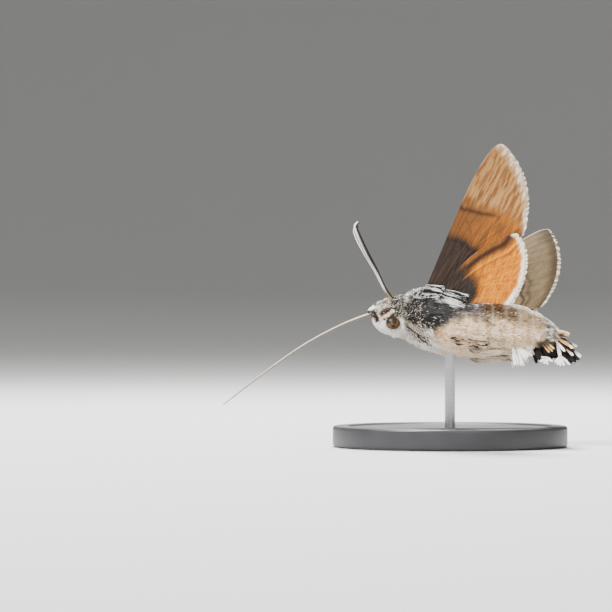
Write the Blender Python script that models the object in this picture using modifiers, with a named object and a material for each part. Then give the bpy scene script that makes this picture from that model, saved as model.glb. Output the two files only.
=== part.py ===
"""Hummingbird hawk moth, Macroglossum stellatarum, hovering: a still life-size model on a stand.

The head points to -X, the left side faces -Y and +Z is up. The origin is the middle of the
stand's underside. Sizes are in millimetres while a form is shaped, and in metres once it is placed.
"""

import math
import random

import bmesh
import bpy
from mathutils import Matrix, Vector

MM = 0.001
GAP = 0.3
SEED = 7
MERGE_DISTANCE = 1e-4
CUT_DISTANCE = 1e-5
SHARP_ANGLE = 50.0
TUBE_RESOLUTION = 2

# The trunk's long axis passes through this point, and the trunk banks about it with its left side up.
BODY_AXIS = (1.45, 1.3, 17.5)
BODY_BANK = 18.0
HEAD_BANK = 3.0

# Cross-sections of the trunk: place along it, height of the middle, half height, half width.
TRUNK = (
    (-9.0, 1.3, 2.7, 2.5),
    (-8.0, 1.3, 3.2, 3.0),
    (-7.2, 1.3, 3.75, 3.5),
    (-5.6, 1.15, 4.4, 4.2),
    (-4.0, 1.0, 4.75, 4.5),
    (-2.0, 0.5, 4.8, 4.5),
    (0.7, -0.15, 4.35, 4.15),
    (2.9, -0.6, 3.95, 4.0),
    (6.0, -0.5, 3.65, 4.05),
    (8.7, -0.7, 3.4, 3.8),
    (10.8, -1.15, 2.95, 3.3),
    (12.4, -1.55, 2.35, 2.7),
    (13.6, -2.0, 1.7, 2.0),
    (14.7, -2.4, 1.3, 1.6),
)
TRUNK_RINGS = 46
TRUNK_SIDES = 24
TAIL_DOME = 1.2
NECK_X = -8.05
WAIST_X = 0.95
ABDOMEN_FRONT_END = 5.4
ABDOMEN_MIDDLE_END = 10.1
ABDOMEN_REAR_END = 12.9
SEGMENT_LENGTH = 1.95
SEGMENT_RISE = 0.03

# Places along the axis past both ends of a form, where a plane cuts nothing off.
PAST_THE_TAIL = 20.0
PAST_THE_FACE = -20.0

# Cross-sections of the head, measured from the middle of the neck.
NECK_CENTRE = (-8.2, 0.0, 1.35)
HEAD = (
    (-4.45, 0.85, 1.0, 0.9),
    (-3.6, 0.72, 1.55, 1.4),
    (-2.8, 0.4, 2.15, 1.95),
    (-1.8, 0.15, 2.65, 2.4),
    (-0.8, 0.1, 3.0, 2.7),
    (0.4, 0.08, 3.3, 3.0),
)
HEAD_RINGS = 14
HEAD_SIDES = 20
HEAD_DOME = 1.0
HEAD_REAR = -0.15

EYE_CENTRE = (-1.5, 1.93, -0.88)
EYE_RADII = (1.02, 0.98, 0.93)
EYE_SIDES = 16
EYE_RINGS = 10

# Paths of the palps, antennae and proboscis from the neck's middle, given for the right side.
PALP_PATH = (
    (-0.9, 0.95, -2.05),
    (-2.2, 1.05, -1.85),
    (-3.3, 0.95, -1.1),
    (-3.95, 0.8, 0.0),
    (-4.1, 0.65, 0.85),
)
PALP_RADII = (0.55, 0.78, 0.82, 0.7, 0.38)
PALP_STEPS = 8

ANTENNA_PATH = (
    (-1.2, 0.8, 1.9),
    (-1.74, 0.95, 2.85),
    (-2.67, 1.3, 4.18),
    (-3.9, 1.9, 6.7),
    (-5.4, 2.75, 9.4),
    (-6.5, 3.4, 11.6),
    (-6.95, 3.7, 12.9),
    (-6.55, 3.8, 13.55),
)
ANTENNA_RADII = (0.27, 0.26, 0.25, 0.27, 0.34, 0.42, 0.33, 0.1)
ANTENNA_STEPS = 22

PROBOSCIS_PATH = (
    (-3.9, 0.0, 0.6),
    (-5.0, 0.0, 0.32),
    (-9.2, 0.0, -1.32),
    (-14.55, 0.0, -4.2),
    (-20.4, 0.0, -8.3),
    (-26.15, 0.0, -12.8),
)
PROBOSCIS_RADII = (0.36, 0.34, 0.3, 0.28, 0.27, 0.2)
PROBOSCIS_STEPS = 31
PROBOSCIS_JOIN = 14

# A leg's femur and shank: each point is (place along, degrees below the side, height over the skin).
MID_LEG = ((-3.2, -48.0, -1.1), (-0.4, -31.0, 0.75), (3.3, -36.0, 0.68), (6.6, -52.0, 0.62))
HIND_LEG = ((-0.9, -62.0, -1.1), (2.8, -63.0, 0.75), (5.8, -66.0, 0.8), (8.3, -70.0, 1.0))
FORE_LEG = ((-6.4, -42.0, -1.2), (-7.7, -30.0, 0.45), (-5.9, -42.0, 0.6), (-3.9, -52.0, 0.55))
FEMUR_RADII = (0.42, 0.5, 0.36)
SHANK_RADII = (0.36, 0.38, 0.3, 0.27, 0.2)
FEMUR_STEPS = 7
SHANK_STEPS = 13
TARSUS_SHARE = 0.5

# Wings lie in a frame of their own: x along the span, y towards the trailing edge, z up through the wing.
WING_HALF_THICKNESS = 0.25
VEIN_RISE = 0.1
VEIN_HALF_WIDTH = 0.34
WING_TIER_GAP = 1.05
SPAN_BEND = 0.9
CHORD_BEND = 1.3
FOREWING = {
    "front_root": (-2.6, -0.5),
    "rear_root": (-2.6, 2.2),
    "tip": (23.0, 0.4),
    "corner": (12.6, 8.6),
    "front_bulge": (-1.55, 1.4, 0.4),
    "margin_bulge": (1.85, 0.85, 1.0),
    "rear_bulge": (0.3, 1.0, 1.0),
    "veins": (0.12, 0.25, 0.38, 0.52, 0.67, 0.84),
    "rows": 13,
}
HINDWING = {
    "front_root": (-1.8, 2.1),
    "rear_root": (-2.0, 3.9),
    "tip": (12.3, 7.3),
    "corner": (2.9, 11.2),
    "front_bulge": (-2.0, 1.0, 0.9),
    "margin_bulge": (1.9, 0.7, 1.0),
    "rear_bulge": (-1.6, 1.0, 1.0),
    "veins": (0.14, 0.32, 0.5, 0.67, 0.84),
    "rows": 9,
}
# Where each pair of wings is rooted and how it is held: every direction is (back, outwards, up).
WING_POSES = {
    "left": {"root": (-4.3, 3.95, 4.7), "span": (0.437, 0.399, 0.808), "chord": (0.899, -0.136, -0.417)},
    "right": {"root": (-2.3, 3.5, 3.9), "span": (0.711, 0.333, 0.620), "chord": (0.688, -0.146, -0.711)},
}

# The tail fan's tiers: number of vanes, half spread, pitch, height of the roots, length.
FAN_ROOT_X = 13.6
FAN_ROOT_SPREAD = 1.1
FAN_TIERS = (
    (9, 42.0, -18.0, -1.55, 3.0),
    (8, 34.0, -28.0, -2.3, 4.1),
    (7, 40.0, -41.0, -3.0, 3.2),
)
FAN_WIDTH = 0.95
FAN_PROFILE = ((0.0, 0.5, 1.0), (0.3, 0.72, 0.95), (0.68, 1.0, 0.8), (0.92, 0.8, 0.65), (1.0, 0.35, 0.5))

# Side tufts, in two rows each: place along, degrees below the side, locks, length and lean back.
SIDE_TUFTS = {
    "abdomen_middle": ((8.1, -47.0, 6, 3.0, 78.0), (8.0, -30.0, 5, 2.2, 70.0)),
    "abdomen_rear": ((11.7, -46.0, 5, 2.4, 60.0), (11.6, -28.0, 4, 2.0, 54.0)),
}
TUFT_FAN = 20.0
TUFT_ROOT_SPREAD = 0.6
TUFT_DEPTH = 0.7
LOCK_WIDTH = 0.85
LOCK_PROFILE = ((0.0, 0.75, 1.0), (0.45, 1.0, 0.9), (0.8, 0.7, 0.75), (1.0, 0.2, 0.45))
LOCK_THICKNESS = 0.5
LOCK_CURL = -0.08
FAN_CURL = -0.04
LENGTH_CHANGE = 0.1
ANGLE_CHANGE = 3.0

BASE_RADIUS = 17.0
BASE_HEIGHT = 3.0
BASE_BEVEL = 0.5
BASE_SIDES = 40
BASE_RIM_ANGLE = 60.0
BEVEL_SEGMENTS = 2
ROD_RADIUS = 0.75
ROD_SIDES = 20

COLOURS = {
    "charcoal_fur": (0.06, 0.06, 0.062),
    "head_fur": (0.2, 0.16, 0.12),
    "cream_fur": (0.62, 0.52, 0.42),
    "tan_fur": (0.42, 0.33, 0.22),
    "black_scales": (0.02, 0.018, 0.017),
    "eye": (0.32, 0.17, 0.05),
    "horn": (0.3, 0.18, 0.08),
    "grey_scales": (0.35, 0.32, 0.28),
    "forewing": (0.3, 0.2, 0.12),
    "hindwing": (0.75, 0.26, 0.03),
    "stand": (0.03, 0.03, 0.032),
    "steel": (0.5, 0.5, 0.5),
}


def clear_scene():
    """Starts from an empty scene."""
    for item in list(bpy.data.objects):
        bpy.data.objects.remove(item, do_unlink=True)


def material(name, roughness=0.7, metallic=0.0):
    """Principled material in one of the moth's colours."""
    found = bpy.data.materials.get(name)
    if found:
        return found
    made = bpy.data.materials.new(name)
    made.use_nodes = True
    shader = made.node_tree.nodes["Principled BSDF"]
    shader.inputs["Base Color"].default_value = (*COLOURS[name], 1.0)
    shader.inputs["Roughness"].default_value = roughness
    shader.inputs["Metallic"].default_value = metallic
    return made


def smooth_value(stations, x):
    """Values at x on a smooth curve through rows that start with their own x."""
    xs = [row[0] for row in stations]
    last = len(xs) - 1
    x = min(max(x, xs[0]), xs[last])
    i = max(k for k in range(last) if xs[k] <= x)
    step = xs[i + 1] - xs[i]
    u = (x - xs[i]) / step

    def slope(k, column):
        before = max(k - 1, 0)
        after = min(k + 1, last)
        return (stations[after][column] - stations[before][column]) / (xs[after] - xs[before])

    values = []
    for column in range(1, len(stations[0])):
        start = stations[i][column]
        end = stations[i + 1][column]
        leave = slope(i, column) * step
        arrive = slope(i + 1, column) * step
        values.append(
            start * (2 * u**3 - 3 * u**2 + 1) + leave * (u**3 - 2 * u**2 + u)
            + end * (3 * u**2 - 2 * u**3) + arrive * (u**3 - u**2)
        )
    return values


def smooth_path(points, radii, count):
    """Evenly numbered points and radii on a smooth curve through a few given ones."""
    rows = [(k, *point, radius) for k, (point, radius) in enumerate(zip(points, radii))]
    path = []
    sizes = []
    for step in range(count):
        x, y, z, radius = smooth_value(rows, step * (len(rows) - 1) / (count - 1))
        path.append(Vector((x, y, z)))
        sizes.append(radius)
    return path, sizes


def segment_ripple(x):
    """The abdomen's segments: each one rises a little towards its hind edge."""
    if x < WAIST_X:
        return 0.0
    return SEGMENT_RISE * (((x - WAIST_X) / SEGMENT_LENGTH) % 1.0 - 0.5)


def trunk_section(x):
    """Height of the middle, half height and half width of the trunk at x."""
    middle, height, width = smooth_value(TRUNK, x)
    swell = 1.0 + segment_ripple(x)
    return middle, height * swell, width * swell


def on_trunk(x, below, height, side):
    """A point over the trunk's skin, by its angle below the side and its height over the skin."""
    middle, half_height, half_width = trunk_section(x)
    angle = math.radians(below)
    out = side * (half_width + height) * math.cos(angle)
    return Vector((x, out, middle + (half_height + height) * math.sin(angle)))


def dome_share(distance, dome):
    """How much of the full section a dome has at a distance from its end."""
    if dome == 0.0 or distance >= dome:
        return 1.0
    return math.sqrt(max(0.0, 1.0 - (1.0 - distance / dome) ** 2))


def sphere_form(rings, sides, first, last, section, front_dome, rear_dome):
    """Closed form along X whose cross-sections are ellipses, with domed ends."""
    bm = bmesh.new()
    bmesh.ops.create_uvsphere(bm, u_segments=sides, v_segments=rings, radius=1.0)
    for vert in bm.verts:
        share = math.acos(min(max(vert.co.z, -1.0), 1.0)) / math.pi
        around = math.atan2(vert.co.y, vert.co.x)
        x = first + (last - first) * share
        middle, half_height, half_width = section(x)
        ends = min(dome_share(x - first, front_dome), dome_share(last - x, rear_dome))
        out = half_width * ends * math.cos(around)
        vert.co = (x, out, middle + half_height * ends * math.sin(around))
    bmesh.ops.recalc_face_normals(bm, faces=bm.faces[:])
    return bm


def length_of_form(form, x_from, x_to):
    """The stretch of a form between two planes across it, closed by flat faces."""
    bm = form.copy()
    for x, direction in ((x_from, -1), (x_to, 1)):
        geometry = bm.verts[:] + bm.edges[:] + bm.faces[:]
        cut = bmesh.ops.bisect_plane(
            bm,
            geom=geometry,
            dist=CUT_DISTANCE,
            plane_co=(x, 0, 0),
            plane_no=(direction, 0, 0),
            clear_outer=True,
        )
        rim = [item for item in cut["geom_cut"] if isinstance(item, bmesh.types.BMEdge)]
        if rim:
            bmesh.ops.contextual_create(bm, geom=rim)
    bmesh.ops.recalc_face_normals(bm, faces=bm.faces[:])
    return bm


def grown(form):
    """A copy of a closed form whose surface lies further out by the gap between neighbours."""
    bm = form.copy()
    bm.normal_update()
    normals = [vert.normal.copy() for vert in bm.verts]
    for vert, normal in zip(bm.verts, normals):
        vert.co += normal * GAP
    return bm


def ellipsoid(centre, radii):
    """Closed ball stretched along the three axes."""
    bm = bmesh.new()
    bmesh.ops.create_uvsphere(bm, u_segments=EYE_SIDES, v_segments=EYE_RINGS, radius=1.0)
    bmesh.ops.scale(bm, vec=radii, verts=bm.verts)
    bmesh.ops.translate(bm, vec=centre, verts=bm.verts)
    return bm


def tube(path, sizes):
    """Closed round tube through the points, with a radius at each."""
    curve = bpy.data.curves.new("tube", "CURVE")
    curve.dimensions = "3D"
    curve.bevel_depth = 1.0
    curve.bevel_resolution = TUBE_RESOLUTION
    curve.use_fill_caps = True
    spline = curve.splines.new("POLY")
    spline.points.add(len(path) - 1)
    for point, centre, size in zip(spline.points, path, sizes):
        point.co = (*centre, 1.0)
        point.radius = size
    holder = bpy.data.objects.new("tube", curve)
    bpy.context.scene.collection.objects.link(holder)
    depsgraph = bpy.context.evaluated_depsgraph_get()
    mesh = bpy.data.meshes.new_from_object(holder.evaluated_get(depsgraph))
    bpy.data.objects.remove(holder, do_unlink=True)
    bm = bmesh.new()
    bm.from_mesh(mesh)
    bmesh.ops.remove_doubles(bm, verts=bm.verts, dist=MERGE_DISTANCE)
    bmesh.ops.recalc_face_normals(bm, faces=bm.faces[:])
    return bm


def loft(rings):
    """Closed form through rings of points, with flat ends."""
    bm = bmesh.new()
    loops = [[bm.verts.new(point) for point in ring] for ring in rings]
    sides = len(rings[0])
    for near, far in zip(loops, loops[1:]):
        for k in range(sides):
            bm.faces.new((near[k], near[(k + 1) % sides], far[(k + 1) % sides], far[k]))
    bm.faces.new(reversed(loops[0]))
    bm.faces.new(loops[-1])
    bmesh.ops.recalc_face_normals(bm, faces=bm.faces[:])
    return bm


def blade(root, along, face, length, width, thickness, profile, curl):
    """Flat lock or vane from a root: profile rows are (share of length, share of width and thickness)."""
    along = Vector(along).normalized()
    across = along.cross(Vector(face)).normalized()
    face = across.cross(along).normalized()
    rings = []
    for share, wide, thick in profile:
        centre = Vector(root) + along * (length * share) + face * (curl * length * share * share)
        half_width = across * (0.5 * width * wide)
        half_thick = face * (0.5 * thickness * thick)
        rings.append((centre - half_width, centre + half_thick, centre + half_width, centre - half_thick))
    return loft(rings)


def mesh_object(name, bm, collection):
    """Object for a form, in a collection."""
    mesh = bpy.data.meshes.new(name)
    bm.to_mesh(mesh)
    item = bpy.data.objects.new(name, mesh)
    collection.objects.link(item)
    return item


def boolean(base, others, operation):
    """The base form joined with other closed forms, or with them cut away."""
    operands = bpy.data.collections.new("operands")
    bpy.context.scene.collection.children.link(operands)
    for other in others:
        mesh_object("operand", other, operands)
    target = mesh_object("target", base, bpy.context.scene.collection)
    modifier = target.modifiers.new("Boolean", "BOOLEAN")
    modifier.operation = operation
    modifier.operand_type = "COLLECTION"
    modifier.collection = operands
    depsgraph = bpy.context.evaluated_depsgraph_get()
    mesh = bpy.data.meshes.new_from_object(target.evaluated_get(depsgraph))
    for item in [target, *operands.objects]:
        bpy.data.objects.remove(item, do_unlink=True)
    bpy.data.collections.remove(operands)
    bm = bmesh.new()
    bm.from_mesh(mesh)
    return largest_surface(bm)


def largest_surface(bm):
    """The form's largest closed surface alone, with touching points merged."""
    bmesh.ops.remove_doubles(bm, verts=bm.verts, dist=MERGE_DISTANCE)
    unseen = set(bm.faces)
    shells = []
    while unseen:
        shell = [unseen.pop()]
        for face in shell:
            for edge in face.edges:
                for neighbour in edge.link_faces:
                    if neighbour in unseen:
                        unseen.remove(neighbour)
                        shell.append(neighbour)
        shells.append(shell)
    shells.sort(key=lambda shell: sum(face.calc_area() for face in shell))
    scraps = [face for shell in shells[:-1] for face in shell]
    if scraps:
        bmesh.ops.delete(bm, geom=scraps, context="FACES")
    return bm


def place(name, bm, collection, colour, parent=None, local=None, roughness=0.7, metallic=0.0):
    """Puts a finished form in the model at its real size."""
    bmesh.ops.scale(bm, vec=(MM, MM, MM), verts=bm.verts)
    item = mesh_object(name, bm, collection)
    item.parent = parent
    if local is not None:
        item.matrix_local = local
    item.data.materials.append(material(colour, roughness, metallic))
    item.data.shade_smooth()
    item.data.set_sharp_from_angle(angle=math.radians(SHARP_ANGLE))


def mirrored_points(points, side):
    """Points of the left side (side -1) or the right side (side 1), given as for the right."""
    return [(x, side * y, z) for x, y, z in points]


def pose_empty(name, location, bank, collection, parent=None):
    """Empty that carries what banks together."""
    item = bpy.data.objects.new(name, None)
    collection.objects.link(item)
    item.parent = parent
    item.location = Vector(location) * MM
    item.rotation_euler = (math.radians(bank), 0.0, 0.0)
    return item


def build_trunk(model, pose):
    """Thorax and the abdomen's lengths, with the side tufts fused to the abdomen."""
    draw = random.Random(SEED)
    form = sphere_form(TRUNK_RINGS, TRUNK_SIDES, TRUNK[0][0], TRUNK[-1][0], trunk_section, 0.0, TAIL_DOME)
    lengths = (
        ("thorax", NECK_X, WAIST_X - GAP / 2, "charcoal_fur"),
        ("abdomen_front", WAIST_X + GAP / 2, ABDOMEN_FRONT_END, "tan_fur"),
        ("abdomen_middle", ABDOMEN_FRONT_END + GAP, ABDOMEN_MIDDLE_END, "tan_fur"),
        ("abdomen_rear", ABDOMEN_MIDDLE_END + GAP, ABDOMEN_REAR_END, "black_scales"),
    )
    for name, start, end, colour in lengths:
        piece = length_of_form(form, start, end)
        locks = []
        for tuft in SIDE_TUFTS.get(name, ()):
            for side in (-1, 1):
                locks.extend(side_tuft(draw, side, *tuft))
        if locks:
            piece = boolean(piece, locks, "UNION")
        place(name, piece, model, colour, pose)
    return form


def spread(count):
    """Evenly spaced places from -1 to 1."""
    return [2.0 * k / (count - 1) - 1.0 for k in range(count)]


def side_tuft(draw, side, x, below, locks, length, lean):
    """One row of long tapered scales out of the abdomen's side, fanned out and leaning back."""
    row = []
    for place_in_row in spread(locks):
        root = on_trunk(x + TUFT_ROOT_SPREAD * place_in_row, below, -TUFT_DEPTH, side)
        outwards = (on_trunk(x, below, 1.0, side) - on_trunk(x, below, 0.0, side)).normalized()
        turn = math.radians(lean - TUFT_FAN * place_in_row + draw.uniform(-ANGLE_CHANGE, ANGLE_CHANGE))
        along = Vector((math.cos(turn), 0.0, 0.0)) + outwards * math.sin(turn)
        face = Vector((1.0, 0.0, 0.0)).cross(outwards) * -side
        reach = (length + TUFT_DEPTH) * (1.0 + draw.uniform(-LENGTH_CHANGE, LENGTH_CHANGE))
        row.append(blade(root, along, face, reach, LOCK_WIDTH, LOCK_THICKNESS, LOCK_PROFILE, LOCK_CURL))
    return row


def build_tail_fan(model, pose, trunk):
    """Tail fan: the abdomen's end with tiers of long blunt scales."""
    core = length_of_form(trunk, ABDOMEN_REAR_END + GAP, PAST_THE_TAIL)
    draw = random.Random(SEED + 1)
    up = (0, 0, 1)
    vanes = []
    for count, half_spread, pitch, height, length in FAN_TIERS:
        for place_in_tier in spread(count):
            yaw = math.radians(half_spread * place_in_tier)
            drop = math.radians(pitch + draw.uniform(-ANGLE_CHANGE, ANGLE_CHANGE))
            along = (math.cos(drop) * math.cos(yaw), math.cos(drop) * math.sin(yaw), math.sin(drop))
            root = (FAN_ROOT_X, FAN_ROOT_SPREAD * place_in_tier, height)
            reach = length * (1.0 + draw.uniform(-LENGTH_CHANGE, LENGTH_CHANGE))
            vanes.append(blade(root, along, up, reach, FAN_WIDTH, LOCK_THICKNESS, FAN_PROFILE, FAN_CURL))
    place("tail_fan", boolean(core, vanes, "UNION"), model, "black_scales", pose)


def build_head(model, pose):
    """Head with its eyes, palps, antennae and proboscis."""
    def section(x):
        return smooth_value(HEAD, x)

    form = sphere_form(HEAD_RINGS, HEAD_SIDES, HEAD[0][0], HEAD[-1][0], section, HEAD_DOME, 0.0)
    head = length_of_form(form, PAST_THE_FACE, HEAD_REAR)
    sockets = []
    palps = []
    for side_name, side in (("left", -1), ("right", 1)):
        centre = (EYE_CENTRE[0], side * EYE_CENTRE[1], EYE_CENTRE[2])
        eye = ellipsoid(centre, EYE_RADII)
        socket = ellipsoid(centre, [radius + GAP for radius in EYE_RADII])
        sockets.append(socket)
        path, sizes = smooth_path(mirrored_points(PALP_PATH, side), PALP_RADII, PALP_STEPS)
        palp = tube(path, sizes)
        palp = boolean(palp, [grown(head), socket], "DIFFERENCE")
        palps.append(palp)
        place("palp_" + side_name, palp.copy(), model, "cream_fur", pose)
        path, sizes = smooth_path(mirrored_points(ANTENNA_PATH, side), ANTENNA_RADII, ANTENNA_STEPS)
        antenna = boolean(tube(path, sizes), [grown(head)], "DIFFERENCE")
        place("antenna_" + side_name, antenna, model, "grey_scales", pose)
        place("eye_" + side_name, eye, model, "eye", pose, roughness=0.25)
    head = boolean(head, sockets, "DIFFERENCE")
    path, sizes = smooth_path(PROBOSCIS_PATH, PROBOSCIS_RADII, PROBOSCIS_STEPS)
    upper = tube(path[:PROBOSCIS_JOIN + 1], sizes[:PROBOSCIS_JOIN + 1])
    upper = boolean(upper, [grown(head), *[grown(palp) for palp in palps]], "DIFFERENCE")
    lower_path = path[PROBOSCIS_JOIN:]
    lower_path[0] = lower_path[0] + (lower_path[1] - lower_path[0]).normalized() * GAP
    lower_sizes = sizes[PROBOSCIS_JOIN:]
    place("proboscis_upper", upper, model, "horn", pose, roughness=0.35)
    place("proboscis_lower", tube(lower_path, lower_sizes), model, "horn", pose, roughness=0.35)
    place("head", head, model, "head_fur", pose)


def leg_form(points, trunk_cut):
    """One leg: a femur out of the body, folded to a tibia and tarsus."""
    coxa, knee, ankle, tip = [Vector(point) for point in points]
    femur_path, femur_sizes = smooth_path((coxa, (coxa + knee) / 2, knee), FEMUR_RADII, FEMUR_STEPS)
    tarsus = ankle + (tip - ankle) * TARSUS_SHARE
    shank = (knee, (knee + ankle) / 2, ankle, tarsus, tip)
    shank_path, shank_sizes = smooth_path(shank, SHANK_RADII, SHANK_STEPS)
    femur = tube(femur_path, femur_sizes)
    joined = boolean(femur, [tube(shank_path, shank_sizes)], "UNION")
    return boolean(joined, [trunk_cut], "DIFFERENCE")


def build_legs(model, pose, trunk_cut):
    """Three pairs of legs, tucked close to the body."""
    for side_name, side in (("left", -1), ("right", 1)):
        for name, stations in (("foreleg", FORE_LEG), ("midleg", MID_LEG), ("hindleg", HIND_LEG)):
            points = [on_trunk(x, below, height, side) for x, below, height in stations]
            place(name + "_" + side_name, leg_form(points, trunk_cut), model, "cream_fur", pose)


def bulge(sizes, share):
    """Sideways swing of an edge: none at its ends, most where the two powers put it."""
    size, rise, fall = sizes
    peak = rise / (rise + fall)
    top = peak**rise * (1.0 - peak) ** fall
    return size * share**rise * (1.0 - share) ** fall / top


def wing_columns(plan):
    """Lines from root to margin, with three for each vein, and which of them are crests."""
    margin = (Vector(plan["corner"]) - Vector(plan["tip"])).length
    half = VEIN_HALF_WIDTH / margin
    columns = [(0.0, True)]
    for vein in plan["veins"]:
        columns.extend([(vein - half, False), (vein, True), (vein + half, False)])
    columns.append((1.0, False))
    return columns


def wing_point(plan, share, column):
    """A point of the wing's plan, by its share of the way from root to margin and its column."""
    front_root = Vector(plan["front_root"])
    rear_root = Vector(plan["rear_root"])
    tip = Vector(plan["tip"])
    corner = Vector(plan["corner"])
    margin = corner - tip
    outwards = Vector((margin.y, -margin.x)).normalized()
    end = tip + margin * column + outwards * bulge(plan["margin_bulge"], column)
    start = front_root.lerp(rear_root, column)
    point = start.lerp(end, share)
    point.y += bulge(plan["front_bulge"], share) * (1.0 - column) ** 2
    point.y += bulge(plan["rear_bulge"], share) * column**2
    return point


def wing_form(plan, tier, hand):
    """Thin wing with its main veins raised in both faces."""
    columns = wing_columns(plan)
    bm = bmesh.new()
    rows = plan["rows"]
    bmesh.ops.create_grid(bm, x_segments=rows, y_segments=len(columns) - 1, size=0.5)
    crests = bm.verts.layers.deform.verify()
    for vert in bm.verts:
        row = round((vert.co.x + 0.5) * rows)
        column, crest = columns[round((vert.co.y + 0.5) * (len(columns) - 1))]
        point = wing_point(plan, row / rows, column)
        height = SPAN_BEND * (point.x / FOREWING["tip"][0]) ** 2
        height -= CHORD_BEND * (point.y / FOREWING["corner"][1]) ** 2
        vert.co = (point.x, point.y, hand * (height - tier * WING_TIER_GAP))
        vert[crests][0] = 1.0 if crest else 0.0
    bmesh.ops.triangulate(bm, faces=bm.faces[:], quad_method="FIXED")
    holder = mesh_object("sheet", bm, bpy.context.scene.collection)
    holder.vertex_groups.new(name="crests")
    solidify = holder.modifiers.new("Solidify", "SOLIDIFY")
    solidify.thickness = 2.0 * (WING_HALF_THICKNESS + VEIN_RISE)
    solidify.thickness_vertex_group = WING_HALF_THICKNESS / (WING_HALF_THICKNESS + VEIN_RISE)
    solidify.vertex_group = "crests"
    solidify.offset = 0.0
    depsgraph = bpy.context.evaluated_depsgraph_get()
    mesh = bpy.data.meshes.new_from_object(holder.evaluated_get(depsgraph))
    bpy.data.objects.remove(holder, do_unlink=True)
    solid = bmesh.new()
    solid.from_mesh(mesh)
    bmesh.ops.recalc_face_normals(solid, faces=solid.faces[:])
    return solid


def wing_matrix(pose, side):
    """Turns a wing's own frame to its place on the trunk."""
    span = Vector((pose["span"][0], side * pose["span"][1], pose["span"][2])).normalized()
    chord = Vector((pose["chord"][0], side * pose["chord"][1], pose["chord"][2]))
    chord = (chord - span * chord.dot(span)).normalized()
    rise = span.cross(chord)
    root = (pose["root"][0], side * pose["root"][1], pose["root"][2])
    turn = Matrix((span, chord, rise)).transposed().to_4x4()
    return Matrix.Translation(root) @ turn


def build_wings(model, pose, trunk_cut):
    """Forewing over hindwing on each side."""
    for side_name, side in (("left", -1), ("right", 1)):
        matrix = wing_matrix(WING_POSES[side_name], side)
        cutter = trunk_cut.copy()
        bmesh.ops.transform(cutter, matrix=matrix.inverted(), verts=cutter.verts)
        local = matrix.copy()
        local.translation = matrix.translation * MM
        for name, plan, tier in (("forewing", FOREWING, 0), ("hindwing", HINDWING, 1)):
            wing = boolean(wing_form(plan, tier, -side), [cutter], "DIFFERENCE")
            place(name + "_" + side_name, wing, model, name, pose, local)


def build_stand(model, trunk_cut):
    """Round base with one rod up to the thorax."""
    bm = bmesh.new()
    bmesh.ops.create_cone(
        bm, cap_ends=True, segments=BASE_SIDES, radius1=BASE_RADIUS, radius2=BASE_RADIUS, depth=BASE_HEIGHT
    )
    bmesh.ops.translate(bm, vec=(0, 0, BASE_HEIGHT / 2), verts=bm.verts)
    rim_angle = math.radians(BASE_RIM_ANGLE)
    rims = [edge for edge in bm.edges if len(edge.link_faces) == 2 and edge.calc_face_angle() > rim_angle]
    bmesh.ops.bevel(
        bm, geom=rims, offset=BASE_BEVEL, segments=BEVEL_SEGMENTS, profile=0.5, affect="EDGES"
    )
    place("stand_base", bm, model, "stand", roughness=0.4)

    top = BODY_AXIS[2]
    foot = BASE_HEIGHT + GAP
    rod = bmesh.new()
    bmesh.ops.create_cone(
        rod, cap_ends=True, segments=ROD_SIDES, radius1=ROD_RADIUS, radius2=ROD_RADIUS, depth=top - foot
    )
    bmesh.ops.translate(rod, vec=(0, 0, (top + foot) / 2), verts=rod.verts)
    cutter = trunk_cut.copy()
    banked = Matrix.Translation(BODY_AXIS) @ Matrix.Rotation(math.radians(-BODY_BANK), 4, "X")
    bmesh.ops.transform(cutter, matrix=banked, verts=cutter.verts)
    place("stand_rod", boolean(rod, [cutter], "DIFFERENCE"), model, "steel", roughness=0.3, metallic=1.0)


def main():
    """Builds the whole moth on its stand."""
    clear_scene()
    model = bpy.data.collections.new("hummingbird_hawk_moth")
    bpy.context.scene.collection.children.link(model)
    body_pose = pose_empty("body_pose", BODY_AXIS, -BODY_BANK, model)
    head_pose = pose_empty("head_pose", NECK_CENTRE, BODY_BANK - HEAD_BANK, model, body_pose)
    trunk = build_trunk(model, body_pose)
    build_tail_fan(model, body_pose, trunk)
    build_head(model, head_pose)
    trunk_cut = grown(length_of_form(trunk, NECK_X, PAST_THE_TAIL))
    build_legs(model, body_pose, trunk_cut)
    build_wings(model, body_pose, trunk_cut)
    build_stand(model, trunk_cut)


main()
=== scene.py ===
"""Looks of the hummingbird hawk moth, Macroglossum stellatarum, hovering on its display stand.

The head points to -X, the left side faces -Y and +Z is up. Shapes are worked out in millimetres
and stored in metres. Colours are written from 0 to 255, as on a paint chart.
"""

import math

import bpy
import numpy as np
from bpy.props import FloatProperty, FloatVectorProperty, PointerProperty
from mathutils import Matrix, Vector
from mathutils.kdtree import KDTree


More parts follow.
